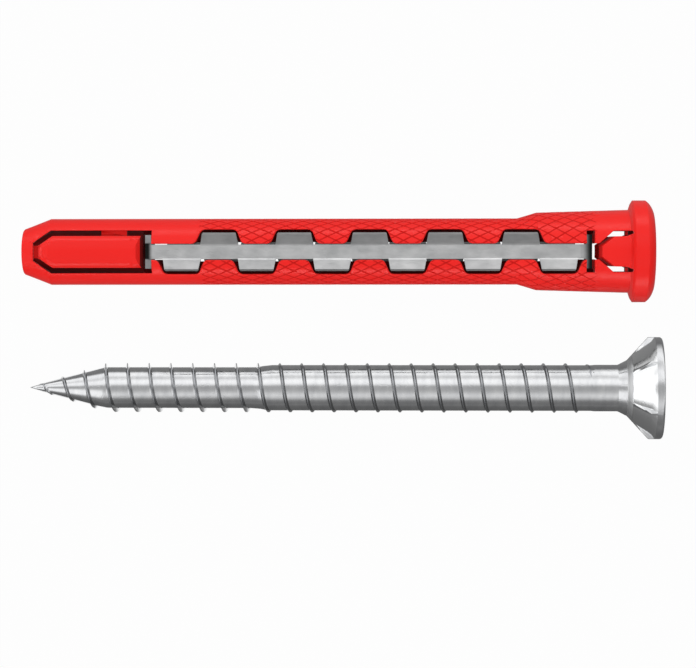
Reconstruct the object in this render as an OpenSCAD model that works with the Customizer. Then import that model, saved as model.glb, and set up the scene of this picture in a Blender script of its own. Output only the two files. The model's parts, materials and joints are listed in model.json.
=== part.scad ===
// Frame plug for an 8 mm hole with its 6 mm countersunk screw, both lying on their side.
// Each piece is drawn along +X from its own tip, then tilted and set down on the floor.

/* [Plug body] */
// Length of the plug, from the nose to the face of the collar
plug_len = 79; // [64:0.5:120]
// Diameter of the plug's body, for an 8 mm hole
body_d = 8.3; // [8:0.05:8.8]
// Diameter of the screw channel where the plug spreads
channel_d = 3; // [2.6:0.1:3.6]
// Diameter of the wide bore under the collar
throat_d = 6.4; // [6.2:0.1:6.8]
// Length of the wide bore up to the face of the collar
throat_len = 7; // [6:0.1:9]

/* [Nose] */
// Diameter of the nose's end
nose_end_d = 5.75; // [5:0.05:6.5]
// Length of the nose's taper
nose_taper = 3.4; // [2.6:0.1:4]
// Rounding of the nose's end edge
nose_edge = 0.12; // [0.05:0.01:0.3]
// Width of the rim between the nose's end and the sunk frame
nose_rim = 1.53; // [1:0.05:2]
// Length of the sunk frame
frame_len = 14.9; // [12:0.1:20]
// Width of the sunk frame
frame_w = 5.34; // [5:0.02:5.6]
// Width of the frame's flat tip
frame_tip_w = 2.3; // [1.8:0.1:2.8]
// Length of the frame's pointed stretch
frame_point = 2.26; // [1.8:0.02:2.6]
// Gap between the frame and the raised pad
pad_gap = 0.68; // [0.4:0.02:0.8]
// Bevel along the pad's long edges
pad_bevel = 0.5; // [0.3:0.05:0.7]
// Rounding of the pad's rear end
pad_end_round = 0.95; // [0.6:0.05:1.2]
// Room behind the pad for the strip's hook
hook_room = 1.34; // [1.2:0.02:1.8]
// Wall of the screw channel under the frame
channel_wall = 1.25; // [1:0.05:1.4]
// Distance from the nose to the web across the frame's gap
web_x = 10.1; // [7:0.1:10.5]
// Length of that web
web_len = 3.2; // [2:0.1:3.6]
// Depth of that web below the body's surface
web_sunk = 1.25; // [0.9:0.05:1.4]

/* [Meander slot] */
// Width of the straight slot
slot_w = 2; // [1.9:0.02:2.4]
// Distance across both rows of windows
window_span = 5.54; // [5.2:0.02:5.8]
// Length of a window at the slot
window_base = 5.84; // [5:0.02:6.2]
// Length of a window at its outer edge
window_outer = 4.32; // [3.8:0.02:4.8]
// Distance between two windows on the same side
window_pitch = 9.4; // [8.6:0.1:11]
// Distance from the frame to the middle of the first window
window_start = 3.7; // [3.4:0.1:5]
// Rounding of the windows' corners
window_round = 0.5; // [0.2:0.05:0.7]
// Height of the windows' floor above the plug's axis
window_floor = 0.9; // [0.6:0.05:1.2]

/* [Neck and collar] */
// Length of the thicker neck, flare included
neck_len = 13.9; // [12:0.1:18]
// Length of the flare from the body to the neck
flare_len = 2.4; // [1.5:0.1:4]
// Diameter of the neck after the flare
neck_d = 9.74; // [9.2:0.02:10]
// Diameter of the neck at the collar
neck_root_d = 10.4; // [10.1:0.05:10.8]
// Diameter of the collar
collar_d = 12.75; // [12.4:0.05:14]
// Thickness of the collar
collar_t = 3.06; // [2.4:0.02:3.4]
// Slant of the collar's underside
collar_slant = 0.5; // [0.3:0.05:0.9]
// Length of the collar's eased outer edge along the plug
collar_edge = 0.95; // [0.6:0.05:1.2]
// Width of that eased edge across the collar's face
collar_edge_w = 1.35; // [1:0.05:1.5]
// Diameter of the countersink's mouth
seat_d = 9.6; // [9.2:0.1:9.7]

/* [Tongue] */
// Length of the tongue, from the collar's underside
tongue_len = 4.14; // [3.8:0.02:5]
// Width of the tongue's tip
tongue_tip_w = 1.3; // [1:0.05:1.6]
// Width of the tongue behind its taper
tongue_w = 3.8; // [3.4:0.05:4]
// Length of the tongue's taper
tongue_taper = 1.62; // [1.3:0.02:2]
// Lean of the tongue's tip
tongue_lean = 0.64; // [0.3:0.02:0.9]
// Lean of the tongue's tapered sides
tongue_side_lean = 0.4; // [0.2:0.02:0.5]
// Width of the slots beside the tongue
arm_w = 0.65; // [0.5:0.02:0.75]
// Length of the slots' blind end
arm_blind = 0.5; // [0.3:0.05:1.6]
// Length of the opening for the strip's rear hook
hook_slot_len = 1.02; // [1:0.02:1.2]
// Width of the opening for the strip's rear hook
hook_slot_w = 5.17; // [4.8:0.02:5.4]
// Bridge between that opening and the tongue
hook_bridge = 0.3; // [0.2:0.02:0.5]

/* [Strips] */
// Thickness of the sheet steel
sheet_t = 0.5; // [0.4:0.02:0.6]
// Depth of the band below the body's surface
strip_sunk = 1.4; // [1.3:0.02:1.5]
// Gap between the band and the slot
band_gap = 0.1; // [0.08:0.02:0.3]
// Angle at which the tabs rise from the band
tab_angle = 28; // [22:1:30]
// Inside radius of the bend between band and tab
tab_bend_r = 0.5; // [0.3:0.05:0.6]
// Gap beside a tab
tab_side_gap = 0.55; // [0.35:0.05:0.7]
// Gap at a tab's outer edge
tab_end_gap = 0.37; // [0.25:0.02:0.5]
// Distance from the band down to its hooks
hook_drop = 0.4; // [0.3:0.05:0.5]
// Length of a hook along the plug
hook_len = 0.72; // [0.6:0.02:0.8]
// Width of a hook
hook_w = 4.2; // [3.6:0.1:4.6]
// Gap between a hook and the wall it catches on
hook_gap = 0.2; // [0.1:0.02:0.26]

/* [Screw] */
// Length of the screw, head included
screw_len = 79.8; // [66:0.2:120]
// Outer diameter of the thread
thread_d = 6.2; // [6.1:0.05:6.3]
// Rise of the thread in one turn
thread_pitch = 2.765; // [2.5:0.005:3]
// Width of the thread at its foot
thread_foot = 0.58; // [0.45:0.01:0.7]
// Width of the thread's crest
thread_crest = 0.14; // [0.08:0.01:0.2]
// Distance from the tip to the first crest on the plug's side
thread_phase = 1.38; // [0.5:0.01:2.5]
// Core diameter of the front stretch
core_front_d = 5.19; // [5:0.01:5.3]
// Core diameter of the rear stretch
core_rear_d = 5.74; // [5.6:0.01:5.8]
// Distance from the tip to the rear stretch
core_step_x = 28.9; // [20:0.1:40]
// Length of the point's taper
point_len = 9.7; // [8:0.1:12]
// Diameter of the plain shank
shank_d = 5.84; // [5.82:0.01:5.95]
// Distance from the top of the head to the end of the thread
shank_from_top = 8.7; // [8:0.1:10]

/* [Screw head] */
// Diameter of the head
head_d = 12.78; // [12.4:0.02:13]
// Height of the head's straight rim
rim_h = 1.75; // [1.2:0.05:1.9]
// Rounding of the head's top edge
rim_edge = 0.35; // [0.1:0.05:0.5]
// Length of the head's steep cone
head_cone_len = 2.65; // [2.4:0.05:3]
// Diameter where that cone meets the gentle one under it
head_root_d = 7; // [6.6:0.05:7.4]
// Length of the gentle cone from the shank
head_root_len = 1.15; // [0.8:0.05:1.6]
// Number of ribs under the head
rib_count = 6; // [4:1:8]
// Thickness of a rib
rib_t = 0.45; // [0.3:0.05:0.7]
// Depth of the pockets between the ribs, at the rim
pocket_depth = 0.65; // [0.4:0.05:0.8]
// Distance from the rim to the start of the pockets
pocket_len = 2.1; // [1.8:0.05:2.3]
// Turn of the ribs about the screw's axis
rib_turn = 31.5; // [0:0.5:60]
// Distance across the six-lobe socket's points
socket_d = 5.5; // [5:0.1:5.8]
// Distance across the socket's valleys
socket_valley_d = 3.95; // [3.6:0.05:4.2]
// Depth of the socket
socket_depth = 2.6; // [2:0.1:2.8]

/* [Layout] */
// Distance between the axes of the plug and the screw
axis_gap = 17.14; // [14:0.02:24]
// How far the screw's tip lies behind the plug's nose
tip_offset = 0.44; // [-2:0.02:4]
// Turn of the plug about its own axis, its front towards the screw
plug_roll = 2; // [-10:1:10]

/* [Hidden] */

// Steps round a true circle, and in a rounded corner of an outline
round_steps = 96;
corner_steps = 3;
arc_steps = 6;
// How far a cutting shape runs past what it cuts
clear = 0.5;
above_all = 8;
// Small steps and overlaps of the outlines
overlap = 0.1;
window_margin = 0.8;
collar_lip = 0.4;
collar_fullness = 0.37;
pad_draft = 0.1;
pad_end_arc = 80;
arm_reach = 0.3;
arm_entry = 0.2;
arm_ease = 0.4;
arm_point = 0.8;
tongue_draft = 0.05;
tab_widening = 0.7;
tab_corner = 0.15;
nose_hook_slope = 0.55;
nose_hook_flat = 0.1;
rear_hook_slope = 1.1;
pocket_entry = 0.03;

body_r = body_d / 2;
channel_r = channel_d / 2;
throat_r = throat_d / 2;
frame_end = nose_rim + frame_len;
pad_end = frame_end - hook_room;
channel_tube_r = channel_r + channel_wall;
collar_x = plug_len - collar_t;
neck_x = collar_x - neck_len + flare_len;
flare_x = collar_x - neck_len;
throat_x = plug_len - throat_len;
seat_depth = (seat_d - throat_d) / 2;
channel_cone = throat_r - channel_r;

tongue_x = collar_x - tongue_len;
hook_slot_end = tongue_x - hook_bridge;
hook_slot_x = hook_slot_end - hook_slot_len;
slot_end = tongue_x + clear / 2;
arm_end = collar_x + arm_reach;
arm_floor = throat_r + overlap;
arm_outer = tongue_w / 2 + arm_w;

// The windows stand in two rows, half a pitch apart, as many as fit before the rear hook
window_step = window_pitch / 2;
window_end_room = window_outer / 2 + window_margin;
window_room = hook_slot_x - frame_end - window_start - window_end_room;
window_count = floor(window_room / window_step) + 1;

strip_top = body_r - strip_sunk;
strip_bottom = strip_top - sheet_t;
band_w = slot_w - 2 * band_gap;
tab_base = window_base - 2 * tab_side_gap;
tab_outer = window_outer - 2 * tab_side_gap + tab_widening;
tab_reach = window_span / 2 - tab_end_gap - band_w / 2;
hook_top = strip_top - hook_drop;
nose_hook_x = frame_end - hook_gap - hook_len;
rear_hook_x = hook_slot_end - hook_gap;

thread_r = thread_d / 2;
core_front_r = core_front_d / 2;
core_rear_r = core_rear_d / 2;
shank_r = shank_d / 2;
shank_x = screw_len - shank_from_top;
core_blend = 1.4;
// Columns round the thread, and profile rows in one turn
thread_columns = 20;
thread_rows = 4;
thread_sink = 0.4;
thread_end = shank_x + thread_sink;
thread_run_out = thread_pitch / 2;
thread_turns = ceil(thread_end / thread_pitch) + 4;
row_count = thread_rows * thread_turns;
point_growth = 0.048;
end_snap = 0.05;

head_r = head_d / 2;
head_cone_x = screw_len - rim_h;
head_root_r = head_root_d / 2;
head_root_x = head_cone_x - head_cone_len;
head_flare_x = head_root_x - head_root_len;
pocket_x = head_cone_x - pocket_len;
pocket_outer_r = head_r + clear;

// The plug lies on its collar and on the shoulder of its nose
collar_foot_x = collar_x + collar_slant;
plug_tilt = atan((collar_d - body_d) / 2 / (collar_foot_x - nose_taper));
plug_lift = body_r * cos(plug_tilt) - nose_taper * sin(plug_tilt);
// The screw lies on its head and on the first full crest that points down
crest_down = thread_phase + 0.75 * thread_pitch;
full_crest_x = max(point_len, (thread_r - core_front_r) / point_growth);
screw_foot_x = crest_down + thread_pitch * ceil((full_crest_x - crest_down) / thread_pitch);
screw_tilt = atan((head_r - thread_r) / (head_cone_x - screw_foot_x));
screw_lift = thread_r * cos(screw_tilt) - screw_foot_x * sin(screw_tilt);

// The middle of the whole set, taken from its outermost corners
set_min_x = min(-(nose_end_d / 2 - nose_edge) * sin(plug_tilt), tip_offset);
plug_max_x = plug_len * cos(plug_tilt) + (collar_d / 2 - collar_edge_w) * sin(plug_tilt);
screw_max_x = tip_offset + screw_len * cos(screw_tilt) + (head_r - rim_edge) * sin(screw_tilt);
set_mid_x = (set_min_x + max(plug_max_x, screw_max_x)) / 2;
plug_y = axis_gap / 2 + (head_d - collar_d) / 4;
screw_y = plug_y - axis_gap;

function unit(v) = v / norm(v);

// A corner p between a and b, as a short curve that starts and ends r away from it
function soft_corner(a, p, b, r) =
    let (from = p + unit(a - p) * r, to = p + unit(b - p) * r)
    [for (k = [0:corner_steps]) let (t = k / corner_steps)
        from * pow(1 - t, 2) + p * 2 * t * (1 - t) + to * pow(t, 2)];

function soft_outline(points, r) =
    let (n = len(points))
    [for (i = [0:n - 1]) each soft_corner(points[(i + n - 1) % n], points[i], points[(i + 1) % n], r)];

// Points of an arc about a centre, from one angle to another
function arc(centre, r, from, to) =
    [for (k = [0:arc_steps]) let (a = from + (to - from) * k / arc_steps)
        centre + r * [cos(a), sin(a)]];

function mirrored(points) = [for (i = [len(points) - 1:-1:0]) [points[i][0], -points[i][1]]];

function window_x(i) = frame_end + window_start + i * window_step;

// Four corners of window i, on the side that s gives
function window_corners(i, s) = [
    [window_x(i) - window_base / 2, s * slot_w / 2],
    [window_x(i) - window_outer / 2, s * window_span / 2],
    [window_x(i) + window_outer / 2, s * window_span / 2],
    [window_x(i) + window_base / 2, s * slot_w / 2]];

function meander_side(s, first) = concat(
    [[frame_end - clear, s * slot_w / 2]],
    [for (i = [first:2:window_count - 1]) each window_corners(i, s)],
    [[slot_end, s * slot_w / 2]]);

function meander() =
    let (lower = meander_side(-1, 0), n = len(lower))
    concat(meander_side(1, 1), [for (i = [n - 1:-1:0]) lower[i]]);

// A shape turned about the X axis, from points of radius and distance
module turned(points) {
    rotate([0, 90, 0]) rotate_extrude($fn = round_steps) polygon(points);
}

// An outline in X and Y, raised from a height to above everything
module raised(points, from) {
    translate([0, 0, from]) linear_extrude(above_all) polygon(points);
}

// An outline in X and Z, carried across to both sides
module across(points, width) {
    rotate([90, 0, 0]) linear_extrude(width, center = true) polygon(points);
}

// The front shape and the same one on the back, half a turn about the plug's axis
module front_and_back() {
    children();
    rotate([180, 0, 0]) children();
}

module lie_plug() {
    translate([-set_mid_x, plug_y, plug_lift])
        rotate([0, -plug_tilt, 0]) rotate([plug_roll, 0, 0]) children();
}

module lie_screw() {
    translate([tip_offset - set_mid_x, screw_y, screw_lift]) rotate([0, -screw_tilt, 0]) children();
}

// The collar's outer edge, eased between a bevel and a round
function collar_shoulder() =
    let (from = [collar_d / 2, plug_len - collar_edge],
         to = [collar_d / 2 - collar_edge_w, plug_len],
         middle = (from + to) / 2,
         corner = middle + ([from[0], to[1]] - middle) * collar_fullness)
    [for (k = [0:arc_steps]) let (t = k / arc_steps)
        from * pow(1 - t, 2) + corner * 2 * t * (1 - t) + to * pow(t, 2)];

module sleeve_body() {
    turned(concat(
        [[channel_r, 0], [nose_end_d / 2 - nose_edge, 0], [nose_end_d / 2, nose_edge],
         [body_r, nose_taper], [body_r, flare_x], [neck_d / 2, neck_x], [neck_root_d / 2, collar_x],
         [collar_d / 2 - collar_lip, collar_x + collar_slant / 2], [collar_d / 2, collar_foot_x]],
        collar_shoulder(),
        [[seat_d / 2, plug_len], [throat_r, plug_len - seat_depth], [throat_r, throat_x],
         [channel_r, throat_x - channel_cone]]));
}

// Half widths of the frame and of the pad along the nose
module frame_outline(inset, end) {
    half = frame_w / 2 - inset;
    slope = (frame_w - frame_tip_w) / 2 / frame_point;
    tip = frame_tip_w / 2 + slope * inset - inset * sqrt(1 + slope * slope);
    start = nose_rim + inset;
    side = [[start, tip], [start + (half - tip) / slope, half], [end, half]];
    polygon(concat(side, mirrored(side)));
}

// The pad's block: straight sides, bevelled long edges and a rounded rear end
module pad_block() {
    half = frame_w / 2 - pad_gap;
    crest = half - pad_bevel;
    crest_z = sqrt(pow(body_r, 2) - pow(crest, 2));
    edge_z = crest_z - pad_bevel * 1.15;
    round_z = body_r - pad_end_round;
    intersection() {
        linear_extrude(above_all) frame_outline(pad_gap, pad_end);
        rotate([90, 0, 90]) linear_extrude(frame_end)
            polygon([[-half, -clear], [half, -clear], [half, edge_z], [crest, crest_z],
                [crest - pad_draft, above_all], [pad_draft - crest, above_all], [-crest, crest_z],
                [-half, edge_z]]);
        across(concat([[0, -clear], [pad_end, -clear]],
            arc([pad_end - pad_end_round, round_z], pad_end_round, 0, pad_end_arc),
            [[0, above_all]]), frame_w);
    }
}

// The gap round the pad, down to the wall of the screw channel, and the deep room for the hook
module frame_cut() {
    difference() {
        translate([0, 0, window_floor]) linear_extrude(above_all) frame_outline(0, frame_end);
        rotate([0, 90, 0]) cylinder(h = pad_end + overlap, r = channel_tube_r, $fn = round_steps);
        pad_block();
        translate([web_x, frame_w / 2 - pad_gap - clear, 0])
            cube([web_len, pad_gap + 2 * clear, body_r - web_sunk]);
    }
}

// One slot beside the tongue, with the room in front of the tongue's tip
module arm_cut() {
    half = tongue_w / 2;
    entry_x = tongue_x - clear;
    outline = [[entry_x, -overlap], [entry_x, slot_w / 2], [tongue_x + arm_entry, slot_w / 2],
        [tongue_x + tongue_taper + arm_ease, arm_outer], [arm_end - overlap, arm_outer],
        [arm_end, half + arm_w / 2], [arm_end - arm_point, half],
        [tongue_x + tongue_taper, half - tongue_draft], [tongue_x, tongue_tip_w / 2],
        [tongue_x, -overlap]];
    difference() {
        raised(outline, window_floor);
        translate([arm_end - arm_blind, 0, 0]) cube([above_all, above_all, arm_floor]);
    }
}

// One tapered side of the tongue, cut so that it leans in as it rises
module side_lean_cut() {
    taper_w = tongue_w / 2 - tongue_draft - tongue_tip_w / 2;
    run_out = 0.65;
    translate([tongue_x, tongue_tip_w / 2, 0]) rotate([0, 0, atan2(taper_w, tongue_taper)])
        translate([-overlap, 0, 0]) rotate([90, 0, 90])
            linear_extrude(norm([taper_w, tongue_taper]) + run_out)
                polygon([[0, throat_r - overlap], [overlap, throat_r - overlap], [overlap, above_all],
                    [-tongue_side_lean, above_all], [-tongue_side_lean, neck_root_d / 2]]);
}

module tongue_cut() {
    arm_cut();
    mirror([0, 1, 0]) arm_cut();
    side_lean_cut();
    mirror([0, 1, 0]) side_lean_cut();
    across([[tongue_x - clear, throat_r - overlap], [tongue_x, throat_r - overlap],
        [tongue_x + tongue_lean, neck_root_d / 2], [tongue_x + tongue_lean, above_all],
        [tongue_x - clear, above_all]], slot_w);
}

module hook_slot_cut() {
    translate([hook_slot_x, -hook_slot_w / 2, window_floor + clear])
        cube([hook_slot_len, hook_slot_w, above_all]);
}

module plug_sleeve() {
    color("#d81e1c") lie_plug() difference() {
        sleeve_body();
        front_and_back() {
            frame_cut();
            raised(soft_outline(meander(), window_round), window_floor);
            hook_slot_cut();
            tongue_cut();
        }
    }
}

// The bent sheet across a tab, in Y and Z: flat, a bend, and straight up to the sheared end
function tab_section() =
    let (centre = [band_w / 2 - tab_bend_r * tan(tab_angle / 2), strip_top + tab_bend_r],
         rise = tab_angle - 90,
         upper = arc(centre, tab_bend_r, -90, rise),
         lower = arc(centre, tab_bend_r + sheet_t, rise, -90),
         along = [cos(tab_angle), sin(tab_angle)],
         top_y = band_w / 2 + tab_reach - sheet_t * sin(tab_angle),
         straight = (top_y - upper[arc_steps][0]) / cos(tab_angle))
    concat([[0, strip_top]], upper, [upper[arc_steps] + straight * along, lower[0] + straight * along],
        lower, [[0, strip_bottom]]);

// One tab on the side that s gives: the bent sheet within the tab's outline as seen from the front
module tab(x, s) {
    base = tab_base / 2;
    outer = tab_outer / 2;
    end_y = band_w / 2 + tab_reach;
    side = [[base, 0], [base, band_w / 2], [outer + tab_corner, end_y - tab_corner],
        [outer, end_y + overlap]];
    mirror([0, s > 0 ? 0 : 1, 0]) translate([x, 0, 0]) intersection() {
        translate([-base, 0, 0]) rotate([90, 0, 90]) linear_extrude(tab_base) polygon(tab_section());
        linear_extrude(above_all)
            polygon(concat(side, [for (i = [len(side) - 1:-1:0]) [-side[i][0], side[i][1]]]));
    }
}

// How far the underside's folds lie behind the upper side's where the band steps down
function fold_shift(slope) = sheet_t * tan(atan2(hook_drop, slope) / 2);

// The hook at one end: the band steps down to a bar across; s is the way it points
module strip_hook(x, s, flat, slope) {
    translate([s > 0 ? x - hook_len : x, -hook_w / 2, hook_top - sheet_t])
        cube([hook_len, hook_w, sheet_t]);
    low_x = x - s * flat;
    top_x = low_x - s * slope;
    shift = s * fold_shift(slope);
    across([[x, hook_top], [low_x, hook_top], [top_x, strip_top], [top_x - shift, strip_top],
        [top_x - shift, strip_bottom], [low_x - shift, hook_top - sheet_t], [x, hook_top - sheet_t]], band_w);
}

module strip() {
    band_from = nose_hook_x + nose_hook_flat + nose_hook_slope + fold_shift(nose_hook_slope);
    band_to = rear_hook_x - hook_len / 2 - rear_hook_slope - fold_shift(rear_hook_slope);
    union() {
        translate([band_from, -band_w / 2, strip_bottom])
            cube([band_to - band_from, band_w, sheet_t]);
        for (i = [0:window_count - 1]) tab(window_x(i), i % 2 == 0 ? -1 : 1);
        strip_hook(nose_hook_x, -1, nose_hook_flat, nose_hook_slope);
        strip_hook(rear_hook_x, 1, hook_len / 2, rear_hook_slope);
    }
}

module front_strip() {
    color("#b4b4b6") lie_plug() strip();
}

module back_strip() {
    color("#b4b4b6") lie_plug() rotate([180, 0, 0]) strip();
}

// Core radius at distance x: the point's taper, the thin front, a short blend and the thick rear
function core_r(x) =
    x < point_len ? core_front_r * pow(x / point_len, 0.93) :
    x < core_step_x ? core_front_r :
    x < core_step_x + core_blend ?
        core_front_r + (core_rear_r - core_front_r) * (x - core_step_x) / core_blend :
    core_rear_r;

// Crest radius at distance x: it grows from the tip, stays level, and runs out at the shank
function crest_r(x) =
    let (full = min(core_r(x) + point_growth * x, thread_r),
         left = min(1, max(0, (shank_x - x) / thread_run_out)))
    core_r(x) + (full - core_r(x)) * left;

// Distance of profile row i from the tip in column j, and its offset within one turn
function row_offset(i) = [-thread_foot / 2, -thread_crest / 2, thread_crest / 2, thread_foot / 2][i % thread_rows];
function row_x(i, j) =
    thread_phase + row_offset(i) + thread_pitch * (floor(i / thread_rows) - 2 + j / thread_columns);
function is_crest(i) = i % thread_rows == 1 || i % thread_rows == 2;

// Rows that lie past an end, or nearly, fall on it, so each column keeps its first and last real row
function held_x(i, j) =
    let (x = row_x(i, j))
    x < end_snap ? 0 : x > thread_end - end_snap ? thread_end : x;
function first_row(j) = max([for (i = [0:row_count - 1]) held_x(i, j) == 0 ? i : 0]);
function last_row(j) = min([for (i = [0:row_count - 1]) held_x(i, j) == thread_end ? i : row_count - 1]);

function thread_point(i, j) =
    let (x = held_x(i, j),
         r = is_crest(i) ? crest_r(x) : core_r(x),
         a = 360 * j / thread_columns)
    [x, r * cos(a), r * sin(a)];

// Column j past the last is the first column again, one turn further on
module threaded_core() {
    points = [for (j = [0:thread_columns - 1]) for (i = [0:row_count - 1]) thread_point(i, j)];
    firsts = [for (j = [0:thread_columns - 1]) first_row(j)];
    lasts = [for (j = [0:thread_columns - 1]) last_row(j)];
    tip = firsts[0];
    function at(i, j) =
        let (column = j % thread_columns,
             row = j < thread_columns ? i : i + thread_rows,
             low = max(row, firsts[column]),
             kept = min(low, lasts[column]))
        kept == firsts[column] ? tip : column * row_count + kept;
    quads = [for (j = [0:thread_columns - 1]) for (i = [0:row_count - thread_rows - 2])
        [at(i, j), at(i + 1, j), at(i + 1, j + 1), at(i, j + 1)]];
    faces = [for (q = quads) each [
        if (q[0] != q[1] && q[1] != q[2] && q[0] != q[2]) [q[0], q[1], q[2]],
        if (q[0] != q[2] && q[2] != q[3] && q[0] != q[3]) [q[0], q[2], q[3]]]];
    end_face = [for (j = [thread_columns - 1:-1:0]) j * row_count + lasts[j]];
    polyhedron(points, concat(faces, [end_face]));
}

// Radius of the head's steep cone at distance x
function head_cone_r(x) = head_root_r + (x - head_root_x) * (head_r - head_root_r) / head_cone_len;

module head_body() {
    turned(concat(
        [[0, shank_x], [shank_r, shank_x], [shank_r, head_flare_x], [head_root_r, head_root_x],
         [head_r, head_cone_x]],
        arc([head_r - rim_edge, screw_len - rim_edge], rim_edge, 0, 90),
        [[0, screw_len]]));
}

// The ring between the ribs: it starts level with the cone and grows deeper towards the rim
module pocket_cut() {
    floor_r = head_cone_r(pocket_x) - pocket_entry;
    floor_slope = (head_r - pocket_depth - floor_r) / pocket_len;
    difference() {
        turned([[floor_r, pocket_x], [pocket_outer_r, pocket_x],
            [pocket_outer_r, pocket_x + (pocket_outer_r - floor_r) / floor_slope]]);
        for (k = [0:rib_count - 1])
            rotate([-rib_turn - 360 * k / rib_count, 0, 0])
                translate([pocket_x - clear, -rib_t / 2, 0]) cube([above_all, rib_t, above_all]);
    }
}

// The six-lobe socket, its radius swinging evenly between point and valley
module socket_cut() {
    mean = (socket_d + socket_valley_d) / 4;
    swing = (socket_d - socket_valley_d) / 4;
    translate([screw_len - socket_depth, 0, 0]) rotate([0, 90, 0])
        linear_extrude(socket_depth + clear)
            polygon([for (a = [0:7.5:352.5]) (mean + swing * cos(6 * a)) * [cos(a), sin(a)]]);
}

module screw() {
    color("#c9cbce") lie_screw() difference() {
        union() {
            threaded_core();
            head_body();
        }
        pocket_cut();
        socket_cut();
    }
}

plug_sleeve();
front_strip();
back_strip();
screw();
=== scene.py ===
"""Looks of a long red wall plug and its countersunk screw, lying side by side.

Every shape is worked out in millimetres in the piece's own place, drawn along +X from its tip, and is
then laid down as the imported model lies, in metres.
"""
from __future__ import annotations

import json
import logging
import math
from dataclasses import dataclass, field, replace
from enum import Enum
from typing import Union

import bpy
import numpy as np
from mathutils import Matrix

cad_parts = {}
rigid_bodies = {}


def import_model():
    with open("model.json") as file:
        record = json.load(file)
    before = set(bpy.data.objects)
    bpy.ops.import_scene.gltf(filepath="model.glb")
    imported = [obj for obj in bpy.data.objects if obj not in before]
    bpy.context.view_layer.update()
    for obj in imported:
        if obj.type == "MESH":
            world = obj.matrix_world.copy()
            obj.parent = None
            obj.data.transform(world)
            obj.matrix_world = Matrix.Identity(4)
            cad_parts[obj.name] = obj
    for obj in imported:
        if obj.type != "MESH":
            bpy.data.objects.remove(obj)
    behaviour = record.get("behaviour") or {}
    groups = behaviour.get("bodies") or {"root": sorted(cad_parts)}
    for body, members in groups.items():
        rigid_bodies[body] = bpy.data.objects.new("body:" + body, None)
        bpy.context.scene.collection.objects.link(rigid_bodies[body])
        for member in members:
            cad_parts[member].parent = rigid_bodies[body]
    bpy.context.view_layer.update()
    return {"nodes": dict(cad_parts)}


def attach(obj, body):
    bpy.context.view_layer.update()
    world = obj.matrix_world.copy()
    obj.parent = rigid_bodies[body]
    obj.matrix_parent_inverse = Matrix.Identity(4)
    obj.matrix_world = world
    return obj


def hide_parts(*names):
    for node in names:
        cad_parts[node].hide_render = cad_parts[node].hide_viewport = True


LOG = logging.getLogger("wall_plug")
MM = 0.001
TURN = 2.0 * math.pi
BODY = "root"
# What a node's input takes: a number, a colour, or another node's output.
Feed = Union[float, tuple, bpy.types.NodeSocket]
WHITE = (1.0, 1.0, 1.0, 1.0)
# Packed points nearer than this, in metres, are one point.
WELD = 1e-7
# How far an edge tool stands proud of the surface and of the edge, in mm.
SPARE = 0.08
# The most of a stretch that a rounded corner may take up.
CORNER_SHARE = 0.45
# The least cosine of half a corner's turn that a mitre is widened for.
MITRE_LIMIT = 0.7


class Slot(Enum):
    """Names of the record's material slots."""

    NYLON = "red_nylon"
    STRIP = "strip_steel"
    SCREW = "screw_steel"


class Hand(Enum):
    """Which way a groove winds about the plug."""

    RIGHT = 1.0
    LEFT = -1.0


@dataclass(frozen=True)
class Lie:
    """How a piece lies: rolled about its own axis, tilted up along it, and moved; millimetres, radians."""

    x: float
    y: float
    lift: float
    tilt: float
    roll: float = 0.0

    def matrix(self) -> np.ndarray:
        """Return the 3 by 3 turn: roll about X first, then tilt about Y so that the far end rises."""
        cr, sr = math.cos(self.roll), math.sin(self.roll)
        ct, st = math.cos(self.tilt), math.sin(self.tilt)
        roll = np.array([[1, 0, 0], [0, cr, -sr], [0, sr, cr]])
        tilt = np.array([[ct, 0, -st], [0, 1, 0], [st, 0, ct]])
        return tilt @ roll

    def lay(self, points: np.ndarray) -> np.ndarray:
        """Turn and move points from the piece's own place, in mm, to the model's, in metres."""
        return (points @ self.matrix().T + np.array([self.x, self.y, self.lift])) * MM

    def lift_off(self, points: np.ndarray) -> np.ndarray:
        """Undo lay: from the model's metres back to the piece's own millimetres."""
        return (points / MM - np.array([self.x, self.y, self.lift])) @ self.matrix()

    def turn(self, directions: np.ndarray) -> np.ndarray:
        """Turn directions only."""
        return directions @ self.matrix().T


def signed_volume(points: np.ndarray, triangles: np.ndarray) -> float:
    """Work out six times the volume in a closed surface, as the sum of corner dot (corner cross corner).

    Args:
        points: rows of three.
        triangles: rows of three point numbers.

    Returns:
        The sum, which is below zero where the triangles look inwards.
    """
    first, second, third = (points[triangles[:, k]] for k in range(3))
    return float(np.einsum("ij,ij->", first, np.cross(second, third)))


@dataclass
class Shell:
    """A closed surface: points in mm and faces as tuples of point numbers."""

    points: np.ndarray
    faces: list

    def turned_over(self) -> "Shell":
        """Return the same shell turned half a turn about the X axis, for the plug's back."""
        return Shell(self.points * np.array([1.0, -1.0, -1.0]), self.faces)

    def joined(self, other: "Shell") -> "Shell":
        """Put both shells in one, side by side.

        Args:
            other: the shell that is added.

        Returns:
            The joined shell.
        """
        first = len(self.points)
        moved = [tuple(i + first for i in face) for face in other.faces]
        return Shell(np.vstack([self.points, other.points]), self.faces + moved)

    def facing_out(self) -> "Shell":
        """Return the shell with its faces wound outwards, told by the sign of its volume."""
        fans = [(face[0], face[k], face[k + 1]) for face in self.faces for k in range(1, len(face) - 1)]
        if signed_volume(self.points, np.array(fans)) >= 0:
            return self
        return Shell(self.points, [face[::-1] for face in self.faces])


def make_mesh(name: str, points: np.ndarray, faces: list) -> bpy.types.Mesh:
    """Make a mesh from points and faces.

    Args:
        name: the mesh's name.
        points: one row of three for each point.
        faces: lists of point numbers.

    Returns:
        The new mesh.
    """
    mesh = bpy.data.meshes.new(name)
    mesh.from_pydata(points.tolist(), [], faces)
    mesh.update()
    return mesh


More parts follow.
